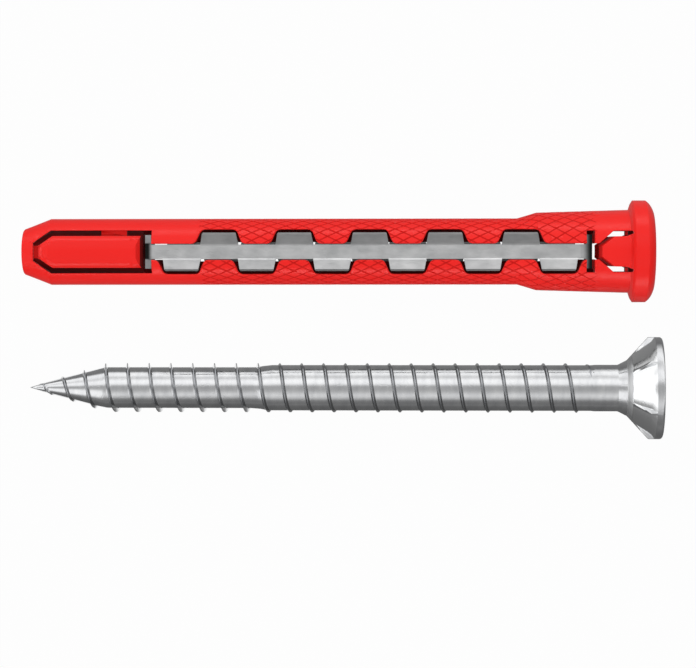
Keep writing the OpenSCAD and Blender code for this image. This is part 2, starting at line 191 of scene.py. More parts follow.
def read_rows(items: bpy.types.bpy_prop_collection, name: str) -> np.ndarray:
    """Read a vector of each of a mesh's points, corners or faces.

    Args:
        items: the mesh's points, corners or faces.
        name: the vector's name.

    Returns:
        One row of three for each.
    """
    flat = np.empty(len(items) * 3)
    items.foreach_get(name, flat)
    return flat.reshape(-1, 3)


def read_numbers(items: bpy.types.bpy_prop_collection, name: str) -> np.ndarray:
    """Read a whole number of each of a mesh's corners or faces.

    Args:
        items: the mesh's corners or faces.
        name: the number's name.

    Returns:
        One number for each.
    """
    numbers = np.empty(len(items), dtype=np.int32)
    items.foreach_get(name, numbers)
    return numbers


def write_points(mesh: bpy.types.Mesh, points: np.ndarray) -> None:
    """Put an array of rows of three back as a mesh's points."""
    mesh.vertices.foreach_set("co", points.ravel())
    mesh.update()


def outwards(points: np.ndarray) -> np.ndarray:
    """Return each point's direction out from the X axis, as rows of Y and Z."""
    return points[:, 1:] / np.maximum(np.linalg.norm(points[:, 1:], axis=1), 1e-6)[:, None]


def between(values: np.ndarray, low: float, high: float) -> np.ndarray:
    """Tell which values lie between two others."""
    return (values > low) & (values < high)


def add_piece(name: str, mesh: bpy.types.Mesh) -> bpy.types.Object:
    """Put a mesh in the scene as an object at the origin.

    Args:
        name: the object's name.
        mesh: its mesh, in the model's place and in metres.

    Returns:
        The new object.
    """
    piece = bpy.data.objects.new(name, mesh)
    bpy.context.scene.collection.objects.link(piece)
    return piece


def drop_piece(piece: bpy.types.Object) -> None:
    """Take a helper object and its mesh out of the file.

    Args:
        piece: the helper.
    """
    mesh = piece.data
    bpy.data.objects.remove(piece)
    bpy.data.meshes.remove(mesh)


def finished_mesh(piece: bpy.types.Object) -> bpy.types.Mesh:
    """Work a piece's modifiers into a new mesh.

    Args:
        piece: the piece, which stays as it is.

    Returns:
        The new mesh.
    """
    graph = bpy.context.evaluated_depsgraph_get()
    graph.update()
    return bpy.data.meshes.new_from_object(piece.evaluated_get(graph))


def merged_copy(node: bpy.types.Object) -> bpy.types.Mesh:
    """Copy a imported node's mesh and join its loose triangles.

    Args:
        node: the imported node.

    Returns:
        The copy, closed.
    """
    helper = add_piece("copy_of_" + node.name, node.data.copy())
    weld = helper.modifiers.new("weld", "WELD")
    weld.merge_threshold = WELD
    mesh = finished_mesh(helper)
    drop_piece(helper)
    mesh.materials.clear()
    return mesh


def cut_away(mesh: bpy.types.Mesh, cutter: Shell) -> bpy.types.Mesh:
    """Cut one closed shell out of a mesh.

    Args:
        mesh: the mesh that is cut, which is used up.
        cutter: what is taken away, in the same place and unit.

    Returns:
        The mesh that is left.
    """
    shell = cutter.facing_out()
    blank = add_piece("blank", mesh)
    tool = add_piece("tool", make_mesh("tool", shell.points, shell.faces))
    step = blank.modifiers.new("cut", "BOOLEAN")
    step.operation = "DIFFERENCE"
    step.solver = "MANIFOLD"
    step.object = tool
    left = finished_mesh(blank)
    drop_piece(tool)
    drop_piece(blank)
    return left


def fine_path(corners: np.ndarray, closed: bool, step: float) -> np.ndarray:
    """Put more points on a path of straight stretches, so that none is longer than a step.

    Args:
        corners: the path's own points, kept as they are.
        closed: whether the last point leads back to the first.
        step: the longest stretch that is left.

    Returns:
        The finer path.
    """
    ends = np.roll(corners, -1, axis=0) if closed else corners[1:]
    starts = corners if closed else corners[:-1]
    parts = []
    for a, b in zip(starts, ends):
        count = max(1, math.ceil(np.linalg.norm(b - a) / step))
        share = np.arange(count)[:, None] / count
        parts.append(a + (b - a) * share)
    if not closed:
        parts.append(corners[-1:])
    return np.vstack(parts)


def soft_corners(corners: np.ndarray, closed: bool, reach: float, steps: int) -> np.ndarray:
    """Round a path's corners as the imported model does.

    Each corner becomes a quadratic curve that starts and ends a reach away from it.

    Args:
        corners: the sharp path.
        closed: whether it is a ring.
        reach: distance from a corner to where its curve starts.
        steps: stretches in each curve.

    Returns:
        The rounded path.
    """
    t = np.arange(steps + 1)[:, None] / steps
    before = np.roll(corners, 1, axis=0)
    after = np.roll(corners, -1, axis=0)
    parts = []
    for k, corner in enumerate(corners):
        if not closed and k in (0, len(corners) - 1):
            parts.append(corner[None, :])
            continue
        back = before[k] - corner
        ahead = after[k] - corner
        far_back = np.linalg.norm(back)
        far_ahead = np.linalg.norm(ahead)
        start = corner + back / far_back * min(reach, CORNER_SHARE * far_back)
        end = corner + ahead / far_ahead * min(reach, CORNER_SHARE * far_ahead)
        parts.append(start * (1 - t) ** 2 + corner * 2 * t * (1 - t) + end * t ** 2)
    return np.vstack(parts)


def path_sides(path: np.ndarray, closed: bool) -> np.ndarray:
    """Return at each point of a path the direction to its left, longer at corners, as a mitre is.

    Args:
        path: points in X and Y.
        closed: whether it is a ring.

    Returns:
        One row of two for each point.
    """
    ahead = np.roll(path, -1, axis=0) - path
    if not closed:
        ahead[-1] = ahead[-2]
    ahead /= np.linalg.norm(ahead, axis=1)[:, None]
    back = np.roll(ahead, 1, axis=0)
    if not closed:
        back[0] = ahead[0]
    mean = ahead + back
    mean /= np.linalg.norm(mean, axis=1)[:, None]
    widen = 1.0 / np.clip(np.sum(mean * ahead, axis=1), MITRE_LIMIT, 1.0)
    return np.stack([-mean[:, 1], mean[:, 0]], axis=1) * widen[:, None]


def tube_faces(stations: int, corners: int, closed: bool) -> list:
    """List the faces of a tube whose points go corner by corner, then station by station.

    Args:
        stations: places along the tube.
        corners: corners of its section.
        closed: whether it is a ring; the ends of an open tube are capped.

    Returns:
        The faces.
    """
    here = np.arange(stations * corners).reshape(stations, corners)
    there = np.roll(here, -1, axis=0)
    faces = np.stack([here, np.roll(here, -1, axis=1), np.roll(there, -1, axis=1), there], axis=-1)
    if closed:
        return faces.reshape(-1, 4).tolist()
    return faces[:-1].reshape(-1, 4).tolist() + [here[0, ::-1].tolist(), here[-1].tolist()]


def round_section(r: float, steps: int = 5) -> np.ndarray:
    """Return the section of a tool that rounds an edge over.

    The first column is the distance from the edge into the stuff, the second the height above the
    surface. The curve is a quarter of a circle of radius r that leaves the surface at distance r.

    Args:
        r: radius of the rounding.
        steps: stretches in the quarter circle.

    Returns:
        The section's corners.
    """
    a = np.linspace(0.0, math.pi / 2, steps + 1)
    curve = np.stack([r * (1 - np.sin(a)), r * (np.cos(a) - 1)], axis=1)
    return np.vstack([[[r, SPARE]], curve, [[-SPARE, -r], [-SPARE, SPARE]]])


@dataclass
class PlugSleeve:
    """The red moulding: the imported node's form with its edges rounded over and its grip cut in.

    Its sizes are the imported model's, in mm, and the roundings and grooves are its own.
    """

    length: float = 79.0
    body_d: float = 8.3
    nose_end_d: float = 5.75
    nose_taper: float = 3.4
    nose_edge: float = 0.12
    nose_rim: float = 1.53
    frame_len: float = 14.9
    frame_w: float = 5.34
    frame_tip_w: float = 2.3
    frame_point: float = 2.26
    pad_gap: float = 0.68
    pad_end: float = 13.85
    pad_corner: float = 0.6
    pad_step: float = 0.14
    pad_round: float = 0.3
    pad_shoulder: tuple = ((0.6, 0.0), (0.55, -0.05), (0.48, -0.09), (0.4, -0.11))
    slot_w: float = 2.0
    window_span: float = 5.54
    window_base: float = 5.84
    window_outer: float = 4.32
    window_step: float = 4.7
    window_start: float = 3.7
    window_count: int = 11
    window_round: float = 0.5
    window_overrun: float = 0.35
    neck_len: float = 13.9
    flare_len: float = 2.4
    neck_d: float = 9.74
    neck_root_d: float = 10.4
    collar_t: float = 3.06
    tongue_len: float = 4.14
    tongue_w: float = 3.8
    tongue_taper: float = 1.62
    tongue_lean: float = 0.61
    tongue_tip_half: float = 0.6
    tongue_root: float = 0.8
    tongue_side_in: float = 0.03
    tongue_round: float = 0.12
    cut_shoulder: tuple = (0.4, 0.67)
    arm_w: float = 0.65
    arm_before: float = 0.55
    arm_after: float = 0.2
    arm_run: float = 0.3
    arm_corner: float = 0.1
    hook_slot_len: float = 1.02
    hook_slot_w: float = 5.17
    hook_bridge: float = 0.3
    lobe_round: float = 0.2
    frame_round: float = 0.14
    small_round: float = 0.08
    path_step: float = 0.22
    grip_from: float = 21.6
    grip_to: float = 72.4
    grip_count: int = 23
    grip_pitch: float = 2.1
    grip_depth: float = 0.12
    grip_w: float = 0.22
    grip_fade: float = 1.6
    grip_stations: int = 150
    grip_proud: float = 0.05
    grip_end_gap: float = 0.01
    sharp_from: float = math.radians(38)
    turned_lean: float = 0.045
    turned_part: float = 0.05
    # Where the zones of painted shade are: depths below the outer surface, places along X as distances from
    # the feature they belong to, and how squarely a face looks outwards, as a cosine.
    slot_sunk: float = 0.28
    slot_from: float = 0.3
    pad_sunk: float = 1.0
    pad_before: float = 0.1
    pad_beside: float = 0.05
    pad_rear: tuple = (3.0, 1.2)
    pad_rear_facing: tuple = (0.5, 0.85)
    web_z: float = 2.9
    web_slack: float = 0.02
    web_from_y: float = 1.4
    grip_sunk: tuple = (0.015, 0.13)
    grip_facing: tuple = (0.55, 0.77)
    tongue_zone: tuple = (0.5, 0.35)
    tongue_sunk: float = 0.12
    tongue_facing: float = 0.93
    blind_len: float = 0.9

    @property
    def frame_end(self) -> float:
        """Distance from the nose to the end of the sunk frame."""
        return self.nose_rim + self.frame_len

    @property
    def collar_x(self) -> float:
        """Distance from the nose to the collar."""
        return self.length - self.collar_t

    @property
    def tongue_x(self) -> float:
        """Distance from the nose to the tongue's tip."""
        return self.collar_x - self.tongue_len

    @property
    def hook_end(self) -> float:
        """Distance from the nose to the far edge of the rear opening."""
        return self.tongue_x - self.hook_bridge

    @property
    def hook_start(self) -> float:
        """Distance from the nose to the near edge of the rear opening."""
        return self.hook_end - self.hook_slot_len

    @property
    def point_slope(self) -> float:
        """How much wider the frame's point gets on either side with each millimetre."""
        return (self.frame_w - self.frame_tip_w) / 2 / self.frame_point

    @property
    def pad_start(self) -> float:
        """Distance from the nose to the raised pad's tip."""
        return self.nose_rim + self.pad_gap

    @property
    def pad_half(self) -> float:
        """Half the pad's width behind its point."""
        return self.frame_w / 2 - self.pad_gap

    @property
    def pad_tip(self) -> float:
        """Half the pad's width at its tip, where it keeps its gap to the frame's slanted sides."""
        return self.frame_tip_w / 2 + self.pad_gap * (self.point_slope - math.hypot(1.0, self.point_slope))

    def radius(self, x: np.ndarray) -> np.ndarray:
        """Work out the outer radius: a cone, the body, a flare and the slow cone of the neck.

        Args:
            x: distances from the nose.

        Returns:
            One radius for each.
        """
        flare = self.collar_x - self.neck_len
        at = [self.nose_edge, self.nose_taper, flare, flare + self.flare_len, self.collar_x]
        r = [self.nose_end_d / 2, self.body_d / 2, self.body_d / 2, self.neck_d / 2, self.neck_root_d / 2]
        return np.interp(x, at, r)

    def height(self, x: np.ndarray, y: np.ndarray) -> np.ndarray:
        """Return the surface's height over a point: the root of the radius squared less y squared."""
        return np.sqrt(np.maximum(self.radius(x) ** 2 - y ** 2, 0.0))

    def edge_tool(self, corners: list, closed: bool, section: np.ndarray) -> Shell:
        """Make a tool that follows an edge over the round surface, on the front and on the back.

        The tool's section is carried along the path: its first column goes to the path's left, into the
        stuff, and its second is added to the surface's own height there.

        Args:
            corners: the edge as points in X and Y, with the stuff to its left.
            closed: whether it is a ring.
            section: the tool's section.

        Returns:
            The tool as two closed shells.
        """
        path = fine_path(np.array(corners), closed, self.path_step)
        sides = path_sides(path, closed)
        flat = path[:, None, :] + sides[:, None, :] * section[None, :, :1]
        z = self.height(flat[..., 0], flat[..., 1]) + section[None, :, 1]
        points = np.concatenate([flat, z[..., None]], axis=2).reshape(-1, 3)
        tool = Shell(points, tube_faces(len(path), len(section), closed))
        return tool.joined(tool.turned_over())

    def rounding(self, corners: list, closed: bool, r: float) -> Shell:
        """Make the tool that rounds over an edge on the front and on the back."""
        return self.edge_tool(corners, closed, round_section(r))

    def window_corners(self, side: float, first: int) -> list:
        """List the corners of one row of windows, from the frame to the rear opening.

        Args:
            side: 1 for the upper row, -1 for the lower one.
            first: number of the row's first window; every second one is in the row.

        Returns:
            The corners, in X and Y.
        """
        y0 = side * self.slot_w / 2
        y1 = side * self.window_span / 2
        base = self.window_base / 2
        outer = self.window_outer / 2
        corners = [(self.frame_end - self.window_overrun, y0)]
        for i in range(first, self.window_count, 2):
            x = self.frame_end + self.window_start + i * self.window_step
            corners += [(x - base, y0), (x - outer, y1), (x + outer, y1), (x + base, y0)]
        return corners + [(self.hook_start + self.window_overrun, y0)]

    def lobe_tools(self) -> list:
        """Return the tools that round over the edges of the meander slot, upper and lower row."""
        upper = soft_corners(np.array(self.window_corners(1.0, 1)), False, self.window_round, 3)
        lower = soft_corners(np.array(self.window_corners(-1.0, 0)), False, self.window_round, 3)
        return [self.rounding(row, False, self.lobe_round) for row in (upper, lower[::-1])]

    def frame_tool(self) -> Shell:
        """Return the tool that rounds over the sunk frame's edge."""
        half = self.frame_w / 2
        tip = self.frame_tip_w / 2
        shoulder = self.nose_rim + self.frame_point
        end = self.frame_end
        corners = [(self.nose_rim, -tip), (self.nose_rim, tip), (shoulder, half), (end, half),
                   (end, -half), (shoulder, -half)]
        return self.rounding(corners, True, self.frame_round)

    def pad_tool(self) -> Shell:
        """Return the tool that steps and rounds the raised pad's tip and long edges."""
        shoulder = self.pad_start + (self.pad_half - self.pad_tip) / self.point_slope
        side = [(self.pad_end, self.pad_half), (shoulder, self.pad_half), (self.pad_start, self.pad_tip)]
        corners = side + [(x, -y) for x, y in side[::-1]]
        rounded = soft_corners(np.array(corners), False, self.pad_corner, 5)
        edge = round_section(self.pad_round)[1:-2]
        low = self.pad_step + self.pad_round
        top = self.pad_shoulder[0][0]
        section = np.vstack([[[top, SPARE]], self.pad_shoulder, edge - [0.0, self.pad_step],
                             [[-SPARE, -low], [-SPARE, SPARE]]])
        return self.edge_tool(rounded, False, section)

    def hook_tool(self) -> Shell:
        """Return the tool that rounds over the rear opening's edge."""
        start, end, half = self.hook_start, self.hook_end, self.hook_slot_w / 2
        corners = [(start, -half), (start, half), (end, half), (end, -half)]
        return self.rounding(corners, True, self.small_round)

    def tongue_tool(self) -> Shell:
        """Return the tool that rounds over the edges of the tongue and of the slots beside it."""
        x = self.tongue_x
        half = self.tongue_w / 2
        outer = half + self.arm_w
        slot = self.slot_w / 2
        slant = x + self.tongue_taper
        end = self.collar_x + self.arm_run
        side = [(x - self.arm_before, slot), (x + self.arm_after, slot),
                (slant + self.cut_shoulder[0], outer), (end - self.arm_corner, outer),
                (end, half + self.arm_w / 2), (end - self.tongue_root, half),
                (slant + self.cut_shoulder[1], half - self.tongue_side_in),
                (x + self.tongue_lean, self.tongue_tip_half)]
        corners = side + [(px, -py) for px, py in side[::-1]]
        soft = soft_corners(np.array(corners), False, self.tongue_round, 3)
        return self.rounding(soft, False, self.small_round)

    def grip_tool(self, hand: Hand) -> Shell:
        """Return the tool that cuts all the fine grooves of one hand.

        Each groove is a helix: its angle grows evenly with x, by one groove's share of a turn in each
        pitch. Its section is a V whose tip lies a depth below the surface and fades out at both ends.

        Args:
            hand: which way the grooves wind.

        Returns:
            The tool as closed shells side by side.
        """
        share = TURN / self.grip_count
        stations = self.grip_stations
        x = np.linspace(self.grip_from, self.grip_to, stations)
        turn = hand.value * share / self.grip_pitch * (x - self.grip_from)
        angle = share * np.arange(self.grip_count)[:, None] + turn[None, :]
        r = self.radius(x)
        ease = np.clip(np.minimum(x - self.grip_from, self.grip_to - x) / self.grip_fade, 0.0, 1.0)
        depth = self.grip_depth * ease - self.grip_end_gap * (1 - ease)
        proud = r + self.grip_proud
        reach = self.grip_w / 2 * (1 + self.grip_proud / self.grip_depth) / r
        radii = np.stack([r - depth, proud, proud], axis=1)
        swing = np.stack([np.zeros(stations), reach, -reach], axis=1)
        at = angle[:, :, None] + swing[None, :, :]
        points = np.stack([np.broadcast_to(x[None, :, None], at.shape),
                           radii * np.cos(at), radii * np.sin(at)], axis=-1)
        one = tube_faces(stations, 3, False)
        step = stations * 3
        faces = [tuple(i + k * step for i in face) for k in range(self.grip_count) for face in one]
        return Shell(points.reshape(-1, 3), faces)

    def shade(self, mesh: bpy.types.Mesh, lie: Lie) -> None:
        """Give the moulding true normals, so that its round surfaces shade as turned ones.

        A face whose own normal has no part along the turning direction lies on a turned surface. There
        each corner's normal keeps the face's part along the axis and takes the rest from the corner's
        own direction out from the axis. Other faces keep the smooth normals of their edge angles.

        Args:
            mesh: the finished moulding, still in its own place, in mm.
            lie: how the piece lies.
        """
        mesh.set_sharp_from_angle(angle=self.sharp_from)
        points = read_rows(mesh.vertices, "co")
        normals = read_rows(mesh.corner_normals, "vector")
        face_normal = read_rows(mesh.polygons, "normal")
        out = outwards(read_rows(mesh.polygons, "center"))
        inward = np.sum(face_normal[:, 1:] * out, axis=1)
        around = np.abs(face_normal[:, 1] * out[:, 1] - face_normal[:, 2] * out[:, 0])
        turned = (around < self.turned_lean) & (np.abs(inward) > self.turned_part)
        of_face = np.repeat(np.arange(len(mesh.polygons)), read_numbers(mesh.polygons, "loop_total"))
        chosen = turned[of_face]
        direction = outwards(points[read_numbers(mesh.loops, "vertex_index")])
        along = face_normal[of_face, 0]
        radial = np.sqrt(np.maximum(1 - along ** 2, 0.0)) * np.sign(inward[of_face])
        true = np.column_stack([along, direction * radial[:, None]])
        normals[chosen] = true[chosen]
        write_points(mesh, lie.lay(points))
        mesh.normals_split_custom_set([tuple(n) for n in lie.turn(normals).tolist()])

    def build(self, node: bpy.types.Object, lie: Lie) -> bpy.types.Object:
        """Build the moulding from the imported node's form.

        Args:
            node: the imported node, which is only read.
            lie: how the piece lies.

        Returns:
            The finished piece.
        """
        mesh = merged_copy(node)
        write_points(mesh, lie.lift_off(read_rows(mesh.vertices, "co")))
        tools = [self.grip_tool(Hand.RIGHT), self.grip_tool(Hand.LEFT), *self.lobe_tools(),
                 self.frame_tool(), self.pad_tool(), self.hook_tool(), self.tongue_tool()]
        for tool in tools:
            mesh = cut_away(mesh, tool)
            LOG.info("sleeve has %d faces", len(mesh.polygons))
        # The zones pick painted shade: near black deep in the slots, dim in grooves, webs and cuts.
        mesh.polygons.foreach_set("material_index", self.zones(mesh))
        self.shade(mesh, lie)
        return add_piece("sleeve_moulding", mesh)

    def zones(self, mesh: bpy.types.Mesh) -> np.ndarray:
        """Number each face's painted shade: 0 none, 1 near black in the slots, 2 dim in grooves and cuts.

        A face in the slots has its middle more than a set depth below the outer surface. The raised
        pad's own faces may lie deeper, down to its bevel. A groove's face leans by about half a right
        angle, and a web is a flat at one height. Zone 2 also holds the webs, the frame before the pad,
        the pad's rear end and the cuts beside the tongue. Both zones take darker finishes that paint in
        the shade which falls there, the pad's rear end the darker the more it faces +X.

        Args:
            mesh: the finished moulding, still in its own place, in mm.

        Returns:
            One number for each face.
        """
        middles = read_rows(mesh.polygons, "center")
        normals = read_rows(mesh.polygons, "normal")
        x, y, z = middles.T
        out = np.hypot(y, z)
        depth = self.radius(x) - out
        pad_from = self.pad_start - self.pad_before
        pad_half = np.minimum(self.pad_half, self.pad_tip + self.point_slope * (x - self.pad_start))
        rear_from, rear_to = self.frame_end - np.array(self.pad_rear)
        on_pad = between(x, pad_from, rear_to) & (np.abs(y) < pad_half + self.pad_beside)
        sunk = np.where(on_pad, self.pad_sunk, self.slot_sunk)
        tongue_from = self.tongue_x - self.tongue_zone[0]
        deep = (depth > sunk) & between(x, self.slot_from, tongue_from)
        at_tip = deep & (x < pad_from) & (np.abs(y) < self.pad_tip)
        dim_rear, dark_rear = (normals[:, 0] > level for level in self.pad_rear_facing)
        pad_rear = on_pad & dim_rear & (x > rear_from)
        facing = (normals[:, 1] * y + normals[:, 2] * z) / np.maximum(out, 1e-6)
        gripped = between(x, self.grip_from, self.grip_to) & between(depth, *self.grip_sunk)
        groove = gripped & between(facing, *self.grip_facing)
        web = deep & (np.abs(np.abs(z) - self.web_z) < self.web_slack) & (np.abs(y) > self.web_from_y)
        in_tongue = between(x, tongue_from, self.collar_x + self.tongue_zone[1])
        in_tongue &= (depth > self.tongue_sunk) & (facing < self.tongue_facing)
        blind = in_tongue & (x > self.collar_x - self.blind_len)
        # Painted shade: dim for grooves, webs, the tip, the tongue's cuts and the pad's rear; near black
        # deep in the slots.
        dim = groove | web | at_tip | in_tongue | pad_rear
        dark = (deep & ~web & ~at_tip) | blind | (pad_rear & dark_rear)
        return np.where(dark, 1, np.where(dim, 2, 0)).astype(np.int32)

    def dress(self, piece: bpy.types.Object, node: str, finishes: tuple) -> None:
        """Give the piece its finishes, in the order of its painted-shade zones, and hide the node it
        replaces.
        """
        settle(piece, node, finishes)


@dataclass
class SpreadingStrip:
    """A stamped steel strip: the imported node's form with its sheared edges broken."""

    edge: float = 0.07
    steps: int = 2
    flat_within: float = math.radians(1.0)
    bent_from: float = math.radians(28)
    inward_from: float = -0.5
    # Painted shade: the finish fades from dark to light behind the front hook, before the rear one, and to
    # a level between them on the hooks' arms: distances from the nose, and for the arms from the axis, in
    # mm.
    front_fade: tuple = (15.8, 16.45)
    rear_fade: tuple = (71.0, 69.9)
    neck_fade: tuple = (0.9, 1.1)
    arm_level: float = 0.6
    hook_shade_tone: tuple = (0.01, 0.012, 0.011, 1.0)

    def build(self, node: bpy.types.Object, name: str, lie: Lie, outward: float) -> bpy.types.Object:
        """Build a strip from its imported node.

        Args:
            node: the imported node, which is only read.
            name: the new piece's name.
            lie: how the plug lies.
            outward: 1 where the strip's outer side looks up, -1 where it looks down.

        Returns:
            The finished piece.
        """
        helper = add_piece("strip_blank", merged_copy(node))
        tidy = helper.modifiers.new("flat_faces", "DECIMATE")
        tidy.decimate_type = "DISSOLVE"
        tidy.angle_limit = self.flat_within
        bevel = helper.modifiers.new("broken_edge", "BEVEL")
        bevel.width = self.edge * MM
        bevel.segments = self.steps
        bevel.limit_method = "ANGLE"
        bevel.angle_limit = self.bent_from
        bevel.harden_normals = False
        mesh = finished_mesh(helper)
        drop_piece(helper)
        mesh.shade_flat()
        # The inner side takes the second finish, a painted shade.
        mesh.polygons.foreach_set("material_index", self.painted_shade_faces(mesh, lie, outward).astype(np.int32))
        return add_piece(name, mesh)

    def painted_shade_faces(self, mesh: bpy.types.Mesh, lie: Lie, outward: float) -> np.ndarray:
        """Tell which faces take the painted shade of the strip's inner side.

        They are those that look inwards, towards the plug's axis.

        Args:
            mesh: the strip where it lies.
            lie: how the plug lies.
            outward: 1 where the strip's outer side looks up, -1 where it looks down.

        Returns:
            One truth value for each face.
        """
        normals = read_rows(mesh.polygons, "normal")
        return (normals @ lie.matrix())[:, 2] * outward < self.inward_from

    def paint_hook_shade(self, material: bpy.types.Material, lie: Lie) -> None:
        """Paint shade into the strip's own finish where it steps down into its hooks.

        Args:
            material: the finish, whose base colour is mixed with the painted shade's dark tone.
            lie: how the plug lies, which tells where the hooks are.
        """
        tree = material.node_tree
        base = tree.nodes["Principled BSDF"].inputs["Base Color"]
        place = axes_of(tree, "Object")
        front = soft_step(tree, place["X"], *((at + lie.x) * MM for at in self.front_fade))
        rear = soft_step(tree, place["X"], *((at + lie.x) * MM for at in self.rear_fade))
        low = soft_step(tree, place["Y"], *((lie.y - at) * MM for at in self.neck_fade))
        high = soft_step(tree, place["Y"], *((lie.y + at) * MM for at in self.neck_fade))
        arms = maths(tree, "MULTIPLY", maths(tree, "ADD", low, high), self.arm_level)
        level = maths(tree, "MULTIPLY", maths(tree, "MAXIMUM", front, arms), rear)
        tone = base.links[0].from_socket
        tree.links.new(blend(tree, level, self.hook_shade_tone, tone), base)

    def dress(self, piece: bpy.types.Object, node: str, finishes: tuple) -> None:
        """Dress the piece, the second finish painted shade on its inner side, and hide the node it
        replaces.
        """
        settle(piece, node, finishes)


@dataclass
class Screw:
    """The countersunk screw: a rolled thread, a plain shank and a ribbed head with a six-lobe socket."""

    length: float = 79.8
    thread_r: float = 3.1
    pitch: float = 2.765
    phase: float = 1.38
    down_share: float = 0.75
    core_front_r: float = 2.595
    core_rear_r: float = 2.87
    core_step_x: float = 28.9
    core_blend: float = 1.4
    point_len: float = 9.7
    point_growth: float = 0.048
    point_power: float = 0.93
    shank_r: float = 2.92
    shank_blend: float = 0.3
    shank_lead: float = 0.1
    shank_from_top: float = 8.7
    head_r: float = 6.39
    rim_h: float = 1.75
    rim_edge: float = 0.35
    head_cone_len: float = 2.65
    head_root_r: float = 3.5
    head_root_len: float = 1.15
    rib_count: int = 6
    rib_t: float = 0.3
    rib_turn: float = math.radians(31.5)
    rib_draft: float = 0.12
    rib_crown: float = 0.05
    pocket_len: float = 2.1
    pocket_depth: float = 0.65
    pocket_lead: float = 0.03
    pocket_entry: float = 0.03
    socket_d: float = 5.5
    socket_valley_d: float = 3.95
    socket_depth: float = 2.6
    socket_chamfer: float = 0.16
    socket_lobes: int = 6
    face_ring_in: float = 0.25
    face_ring_r: float = 4.4
    sharp_from: float = math.radians(34)
    columns: int = 120
    crest_half: float = 0.06
    foot_half: float = 0.26
    foot_rise: float = 0.04
    foot_to: float = 0.45
    foot_fade: float = 0.3
    flank_power: float = 1.05
    end_snap: float = 0.02
    thread_overlap: float = 0.4
    spare_turns: int = 2
    shank_start: float = 1.2
    bend_round: float = 0.1
    close_by: float = 0.05
    row_steps: tuple = (-1.0, -0.62, -0.42, -0.33, -0.25, -0.16, -0.1, -0.06, 0.0, 0.06, 0.1, 0.16, 0.25,
                        0.33, 0.42, 0.62)
    # Where the zones of painted highlight and painted shade are: distances from a surface in mm, a share of
    # the core's radius, how steeply a flank leans, and how far the cone before the pockets reaches towards
    # the tip.
    pocket_sunk: float = 0.05
    pocket_near: float = 0.15
    face_clear: float = 0.1
    thread_near: float = 0.03
    beside_from: float = 0.985
    flank_lean: float = 0.45
    cone_before: float = 0.06

    @property
    def shank_x(self) -> float:
        """Distance from the tip to the plain shank."""
        return self.length - self.shank_from_top

    @property
    def thread_end(self) -> float:
        """Distance from the tip to where the turned surfaces take over."""
        return self.shank_x + self.thread_overlap

    def core(self, x: np.ndarray) -> np.ndarray:
        """Work out the core's radius: a point that swells as a power of x, a thin front and a thick rear.

        Args:
            x: distances from the tip.

        Returns:
            One radius for each.
        """
        point = self.core_front_r * (np.clip(x, 0.0, self.point_len) / self.point_len) ** self.point_power
        step = np.clip((x - self.core_step_x) / self.core_blend, 0, 1)
        last = np.clip((x - self.shank_x + self.shank_lead) / self.shank_blend, 0, 1)
        swell = (self.core_rear_r - self.core_front_r) * step
        return point + swell + (self.shank_r - self.core_rear_r) * last

    def crest(self, x: np.ndarray) -> np.ndarray:
        """Work out the crest's radius: it grows from the tip, stays level, and runs out at the shank.

        Args:
            x: distances from the tip.

        Returns:
            One radius for each.
        """
        core = self.core(x)
        full = np.minimum(core + self.point_growth * x, self.thread_r)
        left = np.clip((self.shank_x - x) / (self.pitch / 2), 0.0, 1.0)
        return core + np.maximum(full - core, 0.0) * left

    def column_angles(self) -> np.ndarray:
        """Return the even angles of the columns, the first on a rib; they turn from +Y towards +Z."""
        return math.pi / 2 - self.rib_turn + np.arange(self.columns) / self.columns * TURN

    def thread_rows(self) -> tuple:
        """Work out the thread's grid of distances and radii.

        Row i of column j lies at phase + pitch * (turn number - spare turns + angle / a full turn) + its
        own step, so the rows climb as the helix does. Its height between core and crest is 1 on the
        crest, falls evenly along the flank and eases out at the foot. What lies past an end is held on
        it.

        Returns:
            Distances and radii, one row for each profile row and one column for each angle, and the
            number of profile rows in one turn.
        """
        steps = np.array(self.row_steps)
        turns = math.ceil(self.thread_end / self.pitch) + 2 * self.spare_turns
        own = np.tile(steps, turns)
        turn = np.repeat(np.arange(turns), len(steps))
        share = self.column_angles() / TURN
        x = self.phase + self.pitch * (turn[:, None] - self.spare_turns + share[None, :]) + own[:, None]
        far = np.abs(own)
        flank = np.clip((self.foot_half - far) / (self.foot_half - self.crest_half), 0.0, 1.0)
        foot = self.foot_rise * np.clip((self.foot_to - far) / self.foot_fade, 0.0, 1.0) ** 2
        height = np.maximum(flank ** self.flank_power, foot)
        x = np.where(x > self.thread_end - self.end_snap, self.thread_end, x)
        x = np.where(x < self.end_snap, 0.0, x)
        r = self.core(x) + (self.crest(x) - self.core(x)) * height[:, None]
        return x, r, len(steps)

